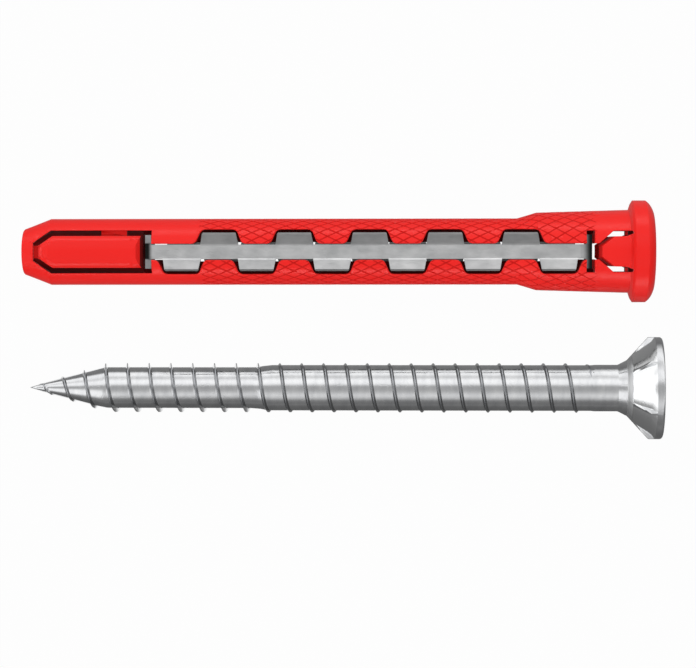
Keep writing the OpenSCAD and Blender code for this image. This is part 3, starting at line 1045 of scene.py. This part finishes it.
    def head_profile(self) -> tuple:
        """Work out the turned stretch from the shank to the head's top, as distances and radii.

        Returns:
            Distances, radii of the cone and rim, and radii of the pockets' floor.
        """
        cone_end = self.length - self.rim_h
        root_x = cone_end - self.head_cone_len
        steep = (self.head_r - self.head_root_r) / self.head_cone_len
        pocket_x = cone_end - self.pocket_len
        near_x = pocket_x - self.pocket_lead
        near_r = self.head_root_r + steep * (near_x - root_x)
        bends = [(self.thread_end + self.shank_start, self.shank_r),
                 (root_x - self.head_root_len, self.shank_r), (root_x, self.head_root_r), (near_x, near_r)]
        neck = soft_corners(np.array(bends), False, self.bend_round, 3)
        floor_r = near_r + steep * self.pocket_lead - self.pocket_entry
        slope = (self.head_r - self.pocket_depth - floor_r) / self.pocket_len
        pocket_end = pocket_x + (self.head_r - floor_r) / slope
        shank = np.array([[self.thread_end + self.close_by, self.shank_r]])
        along = [0.02, 0.1, 0.5, 1.0, 1.6, self.pocket_len - self.close_by, self.pocket_len + self.close_by]
        inside = pocket_x + np.array(along)
        cone_r = self.head_root_r + steep * (inside - root_x)
        cone = np.stack([inside, np.minimum(cone_r, self.head_r)], axis=1)
        rim = [[pocket_end - self.close_by, self.head_r], [pocket_end + self.close_by, self.head_r]]
        b = np.linspace(0.0, math.pi / 2, 7)
        edge = np.stack([self.length - self.rim_edge * (1 - np.sin(b)),
                         self.head_r - self.rim_edge * (1 - np.cos(b))], axis=1)
        line = np.vstack([shank, neck, cone, rim, edge])
        x = line[:, 0]
        floor = np.where(x < pocket_x, line[:, 1], np.minimum(floor_r + slope * (x - pocket_x), line[:, 1]))
        return x, line[:, 1], floor

    def head_rows(self) -> tuple:
        """Work out the head's grid: distances, radii and angles.

        In each rib's share of a turn the columns nearest its middle are drawn in to the rib's own top
        and foot edges, where the cone gives way to the pockets.

        Returns:
            Distances, radii and angles, one row for each station and one column for each angle.
        """
        x, cone, floor = self.head_profile()
        even = self.column_angles()
        per_rib = self.columns // self.rib_count
        place = np.arange(self.columns) % per_rib
        place = np.where(place > per_rib // 2, place - per_rib, place)
        middle = even - place * TURN / self.columns
        side = np.sign(place)
        far = np.abs(place)
        top = np.arcsin(self.rib_t / 2 / cone)[:, None]
        foot = np.arcsin((self.rib_t / 2 + self.rib_draft) / cone)[:, None]
        half = math.pi / self.rib_count
        rest = foot + (half - foot) * (far[None, :] - 2) / (per_rib / 2 - 2)
        ribbed = np.where(far == 0, 0.0, np.where(far == 1, top, np.where(far == 2, foot, rest)))
        even_way = np.abs(place * TURN / self.columns)[None, :]
        run = self.length - self.rim_h - self.pocket_len - x[0]
        drawn_in = np.clip((x - x[0]) / run, 0.0, 1.0)[:, None]
        angle = middle + side * (even_way + (ribbed - even_way) * drawn_in)
        crowned = np.maximum(cone[:, None] - self.rib_crown * (far[None, :] == 1), floor[:, None])
        r = np.where(far[None, :] <= 1, crowned, floor[:, None])
        return np.broadcast_to(x[:, None], r.shape), r, angle

    def socket_rows(self) -> tuple:
        """Work out the top face and the six-lobe socket as more rows of the same grid.

        The socket's radius swings evenly six times in a turn between its points and its valleys.

        Returns:
            Distances, radii and angles.
        """
        even = self.column_angles()
        mean = (self.socket_d + self.socket_valley_d) / 4
        swing = (self.socket_d - self.socket_valley_d) / 4
        lobe = mean - swing * np.cos(self.socket_lobes * even)
        face_r = self.head_r - self.rim_edge - self.face_ring_in
        top = self.length
        low = top - self.socket_depth
        # Each row: its distance from the tip and its radii. The last four are the socket's rounded floor.
        rows = [(top, np.full_like(even, face_r)), (top, np.full_like(even, self.face_ring_r)),
                (top, lobe + self.socket_chamfer), (top - 0.05, lobe + 0.05), (top - 0.2, lobe),
                (low + 0.25, lobe), (low, lobe - 0.15), (low - 0.2, lobe * 0.4), (low - 0.25, lobe * 0.0)]
        x = np.array([row[0] for row in rows])[:, None] * np.ones_like(even)[None, :]
        r = np.array([row[1] for row in rows])
        return x, r, np.broadcast_to(even, r.shape)

    def surface(self) -> tuple:
        """Join the thread, head and socket into one closed skin.

        Returns:
            Points and triangles.
        """
        tx, tr, per_turn = self.thread_rows()
        hx, hr, ha = self.head_rows()
        sx, sr, sa = self.socket_rows()
        even = np.broadcast_to(self.column_angles(), tx.shape)
        x = np.vstack([tx, hx, sx])
        r = np.vstack([tr, hr, sr])
        a = np.vstack([even, ha, sa])
        points = np.stack([x, r * np.cos(a), r * np.sin(a)], axis=-1)
        rows, columns = x.shape
        thread = len(tx)
        number = np.arange(rows * columns).reshape(rows, columns)
        right = np.empty_like(number)
        right[:, :-1] = number[:, 1:]
        shifted = np.arange(rows)
        shifted[:thread] = np.minimum(np.arange(thread) + per_turn, thread - 1)
        right[:, -1] = number[shifted, 0]
        a0 = number[:-1].ravel()
        b0 = number[1:].ravel()
        c0 = right[1:].ravel()
        d0 = right[:-1].ravel()
        triangles = np.vstack([np.stack([a0, b0, c0], axis=1), np.stack([a0, c0, d0], axis=1)])
        return merge_grid(points.reshape(-1, 3), triangles)

    def build(self, lie: Lie) -> bpy.types.Object:
        """Build the screw.

        Args:
            lie: how the piece lies.

        Returns:
            The finished piece.
        """
        points, triangles = self.surface()
        if signed_volume(points, triangles) < 0:
            triangles = triangles[:, ::-1]
        mesh = make_mesh("screw_body", lie.lay(points), triangles.tolist())
        mesh.shade_smooth()
        mesh.set_sharp_from_angle(angle=self.sharp_from)
        # The zones pick a painted highlight in the pockets and painted shade on the thread and the throat.
        mesh.polygons.foreach_set("material_index", self.zones(points[triangles]))
        return add_piece("screw_body", mesh)

    def zones(self, corners: np.ndarray) -> np.ndarray:
        """Number each triangle's zone of painted highlight or painted shade.

        It is 1, a painted highlight, on the floors of the head's pockets and on the thread beside the core,
        2, painted shade, on the rest of the crest, 3, painted shade, on the rest of the flanks, 4, painted
        shade, on the cone before the pockets, and 0 elsewhere.

        Args:
            corners: three corners for each triangle.

        Returns:
            One number for each triangle.
        """
        x, cone, floor = self.head_profile()
        middles = corners.mean(axis=1)
        at, out = middles[:, 0], np.hypot(middles[:, 1], middles[:, 2])
        sunk = np.interp(at, x, cone) - out > self.pocket_sunk
        near_floor = out - np.interp(at, x, floor) < self.pocket_near
        pocket = sunk & near_floor & between(at, x[0], self.length - self.face_clear)
        across = np.cross(corners[:, 1] - corners[:, 0], corners[:, 2] - corners[:, 0])
        lean = np.abs(across[:, 0]) / np.maximum(np.linalg.norm(across, axis=1), 1e-12)
        core = self.core(at)
        thread = (out - core > self.thread_near) & (at < self.shank_x)
        beside = thread & (np.abs(middles[:, 1]) > self.beside_from * core)
        flank = thread & (lean > self.flank_lean)
        crest = thread & (out > self.crest(at) - self.thread_near)
        cone_x = self.length - self.rim_h - self.head_cone_len
        before = between(at, cone_x - self.cone_before, cone_x + self.head_cone_len - self.pocket_len)
        return np.select([pocket | beside, flank, crest, before], [1, 3, 2, 4], 0).astype(np.int32)

    def dress(self, piece: bpy.types.Object, node: str, finishes: tuple) -> None:
        """Give the piece its finishes, in the order of its painted-light zones, and hide the node it
        replaces.
        """
        settle(piece, node, finishes)


def merge_grid(points: np.ndarray, triangles: np.ndarray) -> tuple:
    """Make points that fall on each other one point, and drop the triangles that this closes up.

    Args:
        points: rows of three, in mm.
        triangles: rows of three point numbers.

    Returns:
        The points and triangles that are left.
    """
    keys = np.round(points, 5) + 0.0
    _, first, where = np.unique(keys, axis=0, return_index=True, return_inverse=True)
    merged = where.reshape(-1)[triangles]
    open_one = ((merged[:, 0] != merged[:, 1]) & (merged[:, 1] != merged[:, 2])
                & (merged[:, 0] != merged[:, 2]))
    return points[first], merged[open_one]


def settle(piece: bpy.types.Object, node: str, finishes: tuple) -> None:
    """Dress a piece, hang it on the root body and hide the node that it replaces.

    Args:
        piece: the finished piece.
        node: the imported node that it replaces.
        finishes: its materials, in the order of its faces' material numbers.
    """
    numbers = read_numbers(piece.data.polygons, "material_index")
    piece.data.materials.clear()
    for finish in finishes:
        piece.data.materials.append(finish)
    piece.data.polygons.foreach_set("material_index", numbers)
    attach(piece, BODY)
    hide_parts(node)
    LOG.info("%s: %d faces", piece.name, len(piece.data.polygons))


def feed(tree: bpy.types.NodeTree, node: bpy.types.Node, inputs: dict) -> None:
    """Give a node's inputs their values.

    Args:
        tree: the node's tree.
        node: the node.
        inputs: names or numbers of its inputs, each with a plain value or with another node's output.
    """
    for socket, value in inputs.items():
        if isinstance(value, bpy.types.NodeSocket):
            tree.links.new(value, node.inputs[socket])
        else:
            node.inputs[socket].default_value = value


def add_node(tree: bpy.types.NodeTree, kind: str, inputs: dict, **settings: object) -> bpy.types.Node:
    """Add a node, set it up and feed it.

    Args:
        tree: the tree that it is put in.
        kind: the node's type.
        inputs: what feed takes.
        settings: the node's own properties.

    Returns:
        The new node.
    """
    node = tree.nodes.new(kind)
    for name, value in settings.items():
        setattr(node, name, value)
    feed(tree, node, inputs)
    return node


def axes_of(tree: bpy.types.NodeTree, kind: str) -> bpy.types.bpy_prop_collection:
    """Return the outputs X, Y and Z of one kind of texture coordinates."""
    coordinates = add_node(tree, "ShaderNodeTexCoord", {})
    return add_node(tree, "ShaderNodeSeparateXYZ", {0: coordinates.outputs[kind]}).outputs


def maths(tree: bpy.types.NodeTree, kind: str, *values: Feed, clamp: bool = False) -> bpy.types.NodeSocket:
    """Add a maths node that takes plain values or outputs, and return its output."""
    inputs = dict(enumerate(values))
    return add_node(tree, "ShaderNodeMath", inputs, operation=kind, use_clamp=clamp).outputs[0]


def blend(tree: bpy.types.NodeTree, share: Feed, first: Feed, second: Feed) -> bpy.types.NodeSocket:
    """Mix two colours, each a plain one or an output, by the share of the second, and return the mix."""
    return add_node(tree, "ShaderNodeMix", {0: share, 6: first, 7: second}, data_type="RGBA").outputs[2]


def soft_step(tree: bpy.types.NodeTree, value: bpy.types.NodeSocket, start: float,
              end: float) -> bpy.types.NodeSocket:
    """Add a soft step from 0 at start to 1 at end, and return its output."""
    inputs = {"Value": value, "From Min": start, "From Max": end}
    return add_node(tree, "ShaderNodeMapRange", inputs, interpolation_type="SMOOTHSTEP").outputs["Result"]


def level_ramp(tree: bpy.types.NodeTree, value: bpy.types.NodeSocket, marks: tuple,
               unit: float) -> bpy.types.NodeSocket:
    """Turn a value into grey levels that run evenly from mark to mark.

    Args:
        tree: the node tree.
        value: the output that gives the value.
        marks: pairs of value and level, with levels up to 1.
        unit: what one step of the marks' values is worth in the tree's own terms.

    Returns:
        The output that gives the level.
    """
    low, high = marks[0][0], marks[-1][0]
    place = add_node(tree, "ShaderNodeMapRange",
                     {"Value": value, "From Min": low * unit, "From Max": high * unit})
    ramp = add_node(tree, "ShaderNodeValToRGB", {"Fac": place.outputs["Result"]})
    stops = ramp.color_ramp.elements
    while len(stops) < len(marks):
        stops.new(0.5)
    for stop, (at, level) in zip(stops, marks):
        stop.position = (at - low) / (high - low)
        stop.color = (level, level, level, 1.0)
    return ramp.outputs["Color"]


def new_group(name: str, inputs: dict, output: str) -> tuple:
    """Start a shader node group that puts out one number.

    Args:
        name: the group's name.
        inputs: socket names with their starting values.
        output: the output's name.

    Returns:
        The group's tree, its inputs as outputs of the first node, and its last node.
    """
    tree = bpy.data.node_groups.new(name, "ShaderNodeTree")
    for label, value in inputs.items():
        socket = tree.interface.new_socket(label, in_out="INPUT", socket_type="NodeSocketFloat")
        socket.default_value = value
    tree.interface.new_socket(output, in_out="OUTPUT", socket_type="NodeSocketFloat")
    return tree, tree.nodes.new("NodeGroupInput").outputs, tree.nodes.new("NodeGroupOutput")


def mottle_group() -> bpy.types.NodeTree:
    """Build the group for soft cloudy patches: noise on Object coordinates, drawn out along X.

    Returns:
        The group.
    """
    tree, given, end = new_group("mottle", {"Scale": 100.0, "Stretch": 1.0, "Detail": 3.0}, "Patch")
    place = axes_of(tree, "Object")
    drawn = maths(tree, "DIVIDE", place["X"], given["Stretch"])
    joined = add_node(tree, "ShaderNodeCombineXYZ", {"X": drawn, "Y": place["Y"], "Z": place["Z"]})
    noise = add_node(tree, "ShaderNodeTexNoise", {"Vector": joined.outputs[0], "Scale": given["Scale"],
                                                  "Detail": given["Detail"]})
    feed(tree, end, {"Patch": noise.outputs["Fac"]})
    return tree


def nick_group() -> bpy.types.NodeTree:
    """Build the group for fine nicks: the near-zero band of a noise field, thin curved lines.

    Returns:
        The group.
    """
    tree, given, end = new_group("nicks", {"Scale": 300.0, "Width": 0.02}, "Nick")
    coordinates = add_node(tree, "ShaderNodeTexCoord", {})
    noise = add_node(tree, "ShaderNodeTexNoise", {"Vector": coordinates.outputs["Object"],
                                                  "Scale": given["Scale"]})
    size = maths(tree, "ABSOLUTE", maths(tree, "SUBTRACT", noise.outputs["Fac"], 0.5))
    ratio = maths(tree, "DIVIDE", size, given["Width"], clamp=True)
    feed(tree, end, {"Nick": maths(tree, "SUBTRACT", 1.0, ratio)})
    return tree


@dataclass(frozen=True)
class Finish:
    """A procedural finish: two close tones, a roughness that varies between two values, and fine relief."""

    name: str
    tone: tuple
    other_tone: tuple
    rough: tuple
    metallic: float
    specular: float
    patch_scale: float
    patch_stretch: float
    grain_scale: float
    grain_stretch: float
    grain_height: float
    nick_scale: float
    nick_height: float
    grain_span: tuple = (0.3, 0.7)

    def make(self, mottle: bpy.types.NodeTree, nicks: bpy.types.NodeTree) -> bpy.types.Material:
        """Make the material.

        Args:
            mottle: the group for soft patches and for grain.
            nicks: the group for nicks.

        Returns:
            The new material.
        """
        material = bpy.data.materials.new(self.name)
        material.use_nodes = True
        tree = material.node_tree
        patch = add_node(tree, "ShaderNodeGroup", {"Scale": self.patch_scale,
                                                   "Stretch": self.patch_stretch}, node_tree=mottle)
        grain = add_node(tree, "ShaderNodeGroup", {"Scale": self.grain_scale,
                                                   "Stretch": self.grain_stretch}, node_tree=mottle)
        nick = add_node(tree, "ShaderNodeGroup", {"Scale": self.nick_scale}, node_tree=nicks)
        span = {"From Min": self.grain_span[0], "From Max": self.grain_span[1],
                "To Min": self.rough[0], "To Max": self.rough[1]}
        rough = add_node(tree, "ShaderNodeMapRange", {"Value": grain.outputs["Patch"], **span})
        relief = add_node(tree, "ShaderNodeBump", {"Distance": self.grain_height * MM,
                                                   "Height": grain.outputs["Patch"]})
        nicked = add_node(tree, "ShaderNodeBump", {"Distance": self.nick_height * MM,
                                                   "Height": nick.outputs["Nick"],
                                                   "Normal": relief.outputs["Normal"]}, invert=True)
        tone = blend(tree, patch.outputs["Patch"], (*self.tone, 1.0), (*self.other_tone, 1.0))
        feed(tree, tree.nodes["Principled BSDF"], {
            "Metallic": self.metallic, "Specular IOR Level": self.specular, "Base Color": tone,
            "Roughness": rough.outputs["Result"], "Normal": nicked.outputs["Normal"]})
        return material


NYLON = Finish("red_nylon_satin", tone=(0.74, 0.009, 0.006), other_tone=(0.68, 0.007, 0.005),
               rough=(0.3, 0.38), metallic=0.0, specular=0.22, patch_scale=90.0, patch_stretch=2.0,
               grain_scale=2500.0, grain_stretch=1.0, grain_height=0.004,
               nick_scale=420.0, nick_height=0.002)
# Painted shade: a dimmer red for the grooves, webs, cuts and the pad's rear end, on top of their real
# relief.
PAINTED_DIM_NYLON = replace(NYLON, name="red_nylon_in_grooves", tone=(0.56, 0.007, 0.005),
                    other_tone=(0.51, 0.006, 0.004), rough=(0.45, 0.55), specular=0.1, grain_scale=1800.0)
# Painted shade: a near black red deep in the slots, where the shade falls.
PAINTED_SLOT_SHADE_NYLON = replace(PAINTED_DIM_NYLON, name="red_nylon_in_slots", tone=(0.12, 0.002, 0.002),
                       other_tone=(0.09, 0.002, 0.001), rough=(0.55, 0.65), grain_height=0.006)
STRIP = Finish("strip_zinc_satin", tone=(0.58, 0.58, 0.58), other_tone=(0.26, 0.265, 0.27),
               rough=(0.3, 0.42), metallic=1.0, specular=0.5, patch_scale=700.0, patch_stretch=1.6,
               grain_scale=2200.0, grain_stretch=4.0, grain_height=0.006,
               nick_scale=520.0, nick_height=0.003)
# Painted shade: near black steel for the strip's inner side, where the shade falls.
PAINTED_SHADE_STRIP = replace(STRIP, name="strip_zinc_inner_side", tone=(0.1, 0.1, 0.1),
                       other_tone=(0.07, 0.07, 0.07), rough=(0.5, 0.6), patch_scale=260.0)
BRIGHT = Finish("screw_zinc_bright", tone=(0.9, 0.905, 0.91), other_tone=(0.58, 0.59, 0.61),
                rough=(0.11, 0.19), metallic=1.0, specular=0.5, patch_scale=500.0, patch_stretch=0.4,
                grain_scale=1500.0, grain_stretch=0.3, grain_height=0.004,
                nick_scale=380.0, nick_height=0.003)
# Painted highlight: a brighter steel for the pocket floors and the thread's sides in Y.
PAINTED_HIGHLIGHT_ZINC = replace(BRIGHT, name="screw_zinc_in_pockets", tone=(0.97, 0.975, 0.98),
                 other_tone=(0.9, 0.91, 0.92), rough=(0.14, 0.2), patch_scale=160.0, patch_stretch=1.0)
# Painted shade: a darker steel on the cone before the pockets.
PAINTED_THROAT_SHADE = replace(PAINTED_HIGHLIGHT_ZINC, name="screw_zinc_before_pockets", tone=(0.72, 0.725, 0.73),
                 other_tone=(0.65, 0.66, 0.67), rough=(0.42, 0.5))
# Painted shade: a darker steel on the thread's flanks.
PAINTED_FLANK_SHADE = replace(PAINTED_HIGHLIGHT_ZINC, name="screw_zinc_on_flanks", tone=(0.35, 0.355, 0.365),
                other_tone=(0.31, 0.315, 0.32), rough=(0.2, 0.3))
# Painted shade: a darker steel on the thread's crest.
PAINTED_CREST_SHADE = replace(PAINTED_HIGHLIGHT_ZINC, name="screw_zinc_on_crest", tone=(0.46, 0.47, 0.49),
                other_tone=(0.4, 0.41, 0.43), rough=(0.2, 0.3))


@dataclass(frozen=True)
class SoftBox:
    """A soft box: where it stands and how big it is in metres, how bright it is, and what it lights."""

    name: str
    place: tuple
    size: tuple
    level: float
    aim: tuple = (0.0, 0.0, 0.005)
    mirrored: bool = True
    lights: tuple = ()

    def hang(self) -> None:
        """Hang the box and turn it to its aim; its power is level times pi times its area."""
        data = bpy.data.lights.new(self.name, "AREA")
        data.shape = "RECTANGLE"
        data.size = self.size[0]
        data.size_y = self.size[1]
        data.energy = self.level * math.pi * self.size[0] * self.size[1]
        lamp = bpy.data.objects.new(self.name, data)
        lamp.visible_glossy = self.mirrored
        bpy.context.scene.collection.objects.link(lamp)
        lamp.location = self.place
        away = np.array(self.place) - np.array(self.aim)
        flat = math.hypot(away[0], away[1])
        heading = math.atan2(away[0], -away[1]) if flat > 1e-6 else 0.0
        lamp.rotation_euler = (math.atan2(flat, away[2]), 0.0, heading)
        if self.lights:
            lit = bpy.data.collections.new("lit_by_" + self.name)
            for piece in self.lights:
                lit.objects.link(bpy.data.objects[piece])
            lamp.light_linking.receiver_collection = lit


@dataclass
class Studio:
    """The pale floor, the soft light and the camera above it."""

    floor_size: float = 1.6
    paper: float = 0.3
    paper_share: float = 0.02
    camera_x: float = 0.634
    camera_y: float = -1.78
    camera_z: float = 302.6
    lens: float = 122.23
    sensor: float = 36.0
    nearest: float = 0.01
    # Pairs of degrees from straight up towards +Y and the sky's level there.
    sky: tuple = ((-180, 0.18), (-90, 0.18), (-76, 0.2), (-66, 0.26), (-58, 0.48), (-50, 0.66), (-40, 0.82),
                  (-30, 0.74), (-20, 0.57), (-10, 0.47), (0, 0.45), (8, 0.46), (15, 0.74), (21, 1.08),
                  (30, 1.18), (40, 1.2), (48, 1.0), (56, 0.76), (63, 0.84), (72, 1.12), (84, 1.18),
                  (95, 1.05), (102, 0.8), (180, 0.6))
    left_sky: tuple = ((-180, 0.18), (-90, 0.2), (-76, 0.35), (-66, 0.8), (-58, 1.15), (-30, 1.15),
                       (-20, 0.95), (-10, 0.55), (0, 0.45), (8, 0.46), (15, 0.74), (21, 1.08), (40, 1.2),
                       (56, 0.85), (72, 1.12), (84, 1.18), (95, 1.05), (102, 0.8), (180, 0.6))
    # Pairs of millimetres in Y and the level of the painted reflections that metal sees in the floor there:
    # dark bands with two bright strips painted in.
    painted_floor_reflection: tuple = ((-60, 0.2), (-18, 0.13), (-12.6, 0.12), (-12.1, 0.95), (-10.7, 0.95),
                             (-10.2, 0.15), (-7.0, 0.15), (-6.5, 0.95), (-5.1, 0.95), (-4.6, 0.24),
                             (12, 0.2), (24, 0.5), (60, 1.0))
    left_level: float = 1.35
    right_level: float = 0.6
    # Spans of a direction's X, or of its Z for the last, over which the sky changes.
    left_from: tuple = (-0.35, -0.55)
    ends_from: tuple = (0.87, 0.94)
    above_floor: tuple = (0.03, 0.09)
    boxes: tuple = (
        SoftBox("fill", (0.0, 0.0, 0.6), (0.8, 0.8), 0.68, mirrored=False, lights=("sleeve_moulding",)),
        SoftBox("upper_box", (0.0, 0.38, 0.13), (0.8, 0.05), 5.3, lights=("sleeve_moulding",)),
        SoftBox("lower_box", (0.0, -0.38, 0.1), (0.8, 0.05), 8.8, lights=("sleeve_moulding",)),
        SoftBox("nose_box", (-0.4, 0.0, 0.1), (0.25, 0.12), 2.0, lights=("sleeve_moulding",)),
        SoftBox("strip_box", (0.0, 0.235, 0.55), (1.2, 0.5), 1.02, lights=("front_band", "back_band")),
    )

    def floor_material(self) -> bpy.types.Material:
        """Make the paper's material.

        The camera sees it white, but for a share of plain paper that keeps the pieces' shadow. Metal
        sees painted reflections in it instead: levels painted in bands that follow the distance in Y from
        the pieces.

        Returns:
            The new material.
        """
        material = bpy.data.materials.new("floor_paper")
        material.use_nodes = True
        tree = material.node_tree
        tree.nodes.clear()
        rays = add_node(tree, "ShaderNodeLightPath", {}).outputs
        mirrored = rays["Is Glossy Ray"]
        seen = maths(tree, "MAXIMUM", rays["Is Camera Ray"], rays["Is Transmission Ray"])
        share = maths(tree, "MULTIPLY", maths(tree, "MAXIMUM", seen, mirrored), 1.0 - self.paper_share)
        # Painted reflections: bands of levels along Y that only mirrored rays see.
        painted_bands = level_ramp(tree, axes_of(tree, "Object")["Y"], self.painted_floor_reflection, MM)
        glow = add_node(tree, "ShaderNodeEmission", {"Color": blend(tree, mirrored, WHITE, painted_bands)})
        tone = (self.paper, self.paper, self.paper, 1.0)
        paper = add_node(tree, "ShaderNodeBsdfDiffuse", {"Color": tone})
        mixed = add_node(tree, "ShaderNodeMixShader", {0: share, 1: paper.outputs[0], 2: glow.outputs[0]})
        add_node(tree, "ShaderNodeOutputMaterial", {"Surface": mixed.outputs[0]})
        return material

    def lay_floor(self) -> None:
        """Lay a wide plain floor."""
        half = self.floor_size / 2
        points = np.array([[-half, -half, 0], [half, -half, 0], [half, half, 0], [-half, half, 0]])
        floor = add_piece("floor", make_mesh("floor", points, [(0, 1, 2, 3)]))
        floor.data.materials.append(self.floor_material())

    def light_sky(self) -> None:
        """Light the set with a soft room.

        Its level depends on the angle from straight up towards +Y, with another row of levels on the
        side of the tips, and beyond the pieces' ends it changes to a level of its own.
        """
        world = bpy.data.worlds.new("room")
        bpy.context.scene.world = world
        world.use_nodes = True
        tree = world.node_tree
        way = axes_of(tree, "Generated")
        angle = maths(tree, "ARCTAN2", way["Y"], way["Z"])
        top = max(level for _, level in self.sky)
        skies = []
        for sky in (self.sky, self.left_sky):
            marks = tuple((degrees, level / top) for degrees, level in sky)
            skies.append(level_ramp(tree, angle, marks, math.pi / 180))
        colour = blend(tree, soft_step(tree, way["X"], *self.left_from), *skies)
        above = add_node(tree, "ShaderNodeMapRange", {
            "Value": way["Z"], "From Min": self.above_floor[0], "From Max": self.above_floor[1]})
        for side, level in ((-1.0, self.left_level), (1.0, self.right_level)):
            reach = soft_step(tree, way["X"], *(side * start for start in self.ends_from))
            share = maths(tree, "MULTIPLY", reach, above.outputs["Result"])
            colour = blend(tree, share, colour, (level / top, level / top, level / top, 1.0))
        feed(tree, tree.nodes["Background"], {"Color": colour, "Strength": top})

    def set_camera(self) -> None:
        """Hang the camera straight above, a little to the side of the set's middle."""
        data = bpy.data.cameras.new("camera")
        data.sensor_fit = "HORIZONTAL"
        data.sensor_width = self.sensor
        data.lens = self.lens
        data.clip_start = self.nearest
        camera = bpy.data.objects.new("camera", data)
        camera.location = (self.camera_x * MM, self.camera_y * MM, self.camera_z * MM)
        bpy.context.scene.collection.objects.link(camera)
        bpy.context.scene.camera = camera

    def build(self) -> None:
        """Build the whole set."""
        self.lay_floor()
        self.light_sky()
        for box in self.boxes:
            box.hang()
        self.set_camera()
        bpy.context.scene.view_settings.view_transform = "Standard"


@dataclass
class Layout:
    """How the two things lie beside each other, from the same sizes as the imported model."""

    axis_gap: float = 17.14
    tip_offset: float = 0.44
    plug_roll: float = math.radians(2)
    collar_d: float = 12.75
    collar_slant: float = 0.5
    collar_edge_w: float = 1.35
    sleeve: PlugSleeve = field(default_factory=PlugSleeve)
    screw: Screw = field(default_factory=Screw)

    def lies(self) -> tuple:
        """Work out how the plug and the screw rest on the floor.

        The plug rests on its collar and on the shoulder of its nose. The screw rests on its head and on
        the first full crest that points down. The set's middle is taken from its outermost corners.

        Returns:
            The plug's lie and the screw's.
        """
        sleeve, screw = self.sleeve, self.screw
        body_r = sleeve.body_d / 2
        collar_foot = sleeve.collar_x + self.collar_slant
        plug_tilt = math.atan((self.collar_d / 2 - body_r) / (collar_foot - sleeve.nose_taper))
        plug_lift = body_r * math.cos(plug_tilt) - sleeve.nose_taper * math.sin(plug_tilt)
        down = screw.phase + screw.down_share * screw.pitch
        full = max(screw.point_len, (screw.thread_r - screw.core_front_r) / screw.point_growth)
        foot = down + screw.pitch * math.ceil((full - down) / screw.pitch)
        screw_tilt = math.atan((screw.head_r - screw.thread_r) / (screw.length - screw.rim_h - foot))
        screw_lift = screw.thread_r * math.cos(screw_tilt) - foot * math.sin(screw_tilt)
        low = min(-(sleeve.nose_end_d / 2 - sleeve.nose_edge) * math.sin(plug_tilt), self.tip_offset)
        plug_high = (sleeve.length * math.cos(plug_tilt)
                     + (self.collar_d / 2 - self.collar_edge_w) * math.sin(plug_tilt))
        screw_high = (self.tip_offset + screw.length * math.cos(screw_tilt)
                      + (screw.head_r - screw.rim_edge) * math.sin(screw_tilt))
        middle = (low + max(plug_high, screw_high)) / 2
        plug_y = self.axis_gap / 2 + (2 * screw.head_r - self.collar_d) / 4
        plug = Lie(-middle, plug_y, plug_lift, plug_tilt, self.plug_roll)
        return plug, Lie(self.tip_offset - middle, plug_y - self.axis_gap, screw_lift, screw_tilt)


def main() -> None:
    """Build and dress every piece, then the set."""
    logging.basicConfig(level=logging.INFO, format="%(message)s")
    for left_over in list(bpy.data.objects):
        bpy.data.objects.remove(left_over)
    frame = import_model()
    nodes = frame["nodes"]
    layout = Layout()
    plug_lie, screw_lie = layout.lies()
    mottle = mottle_group()
    nicks = nick_group()
    nylon = tuple(finish.make(mottle, nicks) for finish in (NYLON, PAINTED_SLOT_SHADE_NYLON, PAINTED_DIM_NYLON))
    zinc = tuple(finish.make(mottle, nicks) for finish in (STRIP, PAINTED_SHADE_STRIP))
    bright = tuple(finish.make(mottle, nicks) for finish in (BRIGHT, PAINTED_HIGHLIGHT_ZINC, PAINTED_CREST_SHADE, PAINTED_FLANK_SHADE, PAINTED_THROAT_SHADE))
    sleeve = layout.sleeve
    moulding = sleeve.build(nodes["plug_sleeve"], plug_lie)
    moulding.visible_glossy = False
    sleeve.dress(moulding, "plug_sleeve", nylon)
    strip = SpreadingStrip()
    # Paint shade into the strip's finish where it steps down into its hooks.
    strip.paint_hook_shade(zinc[0], plug_lie)
    strip.dress(strip.build(nodes["front_strip"], "front_band", plug_lie, 1.0), "front_strip", zinc)
    strip.dress(strip.build(nodes["back_strip"], "back_band", plug_lie, -1.0), "back_strip", zinc)
    layout.screw.dress(layout.screw.build(screw_lie), "screw", bright)
    Studio().build()


if __name__ == "__main__":
    main()
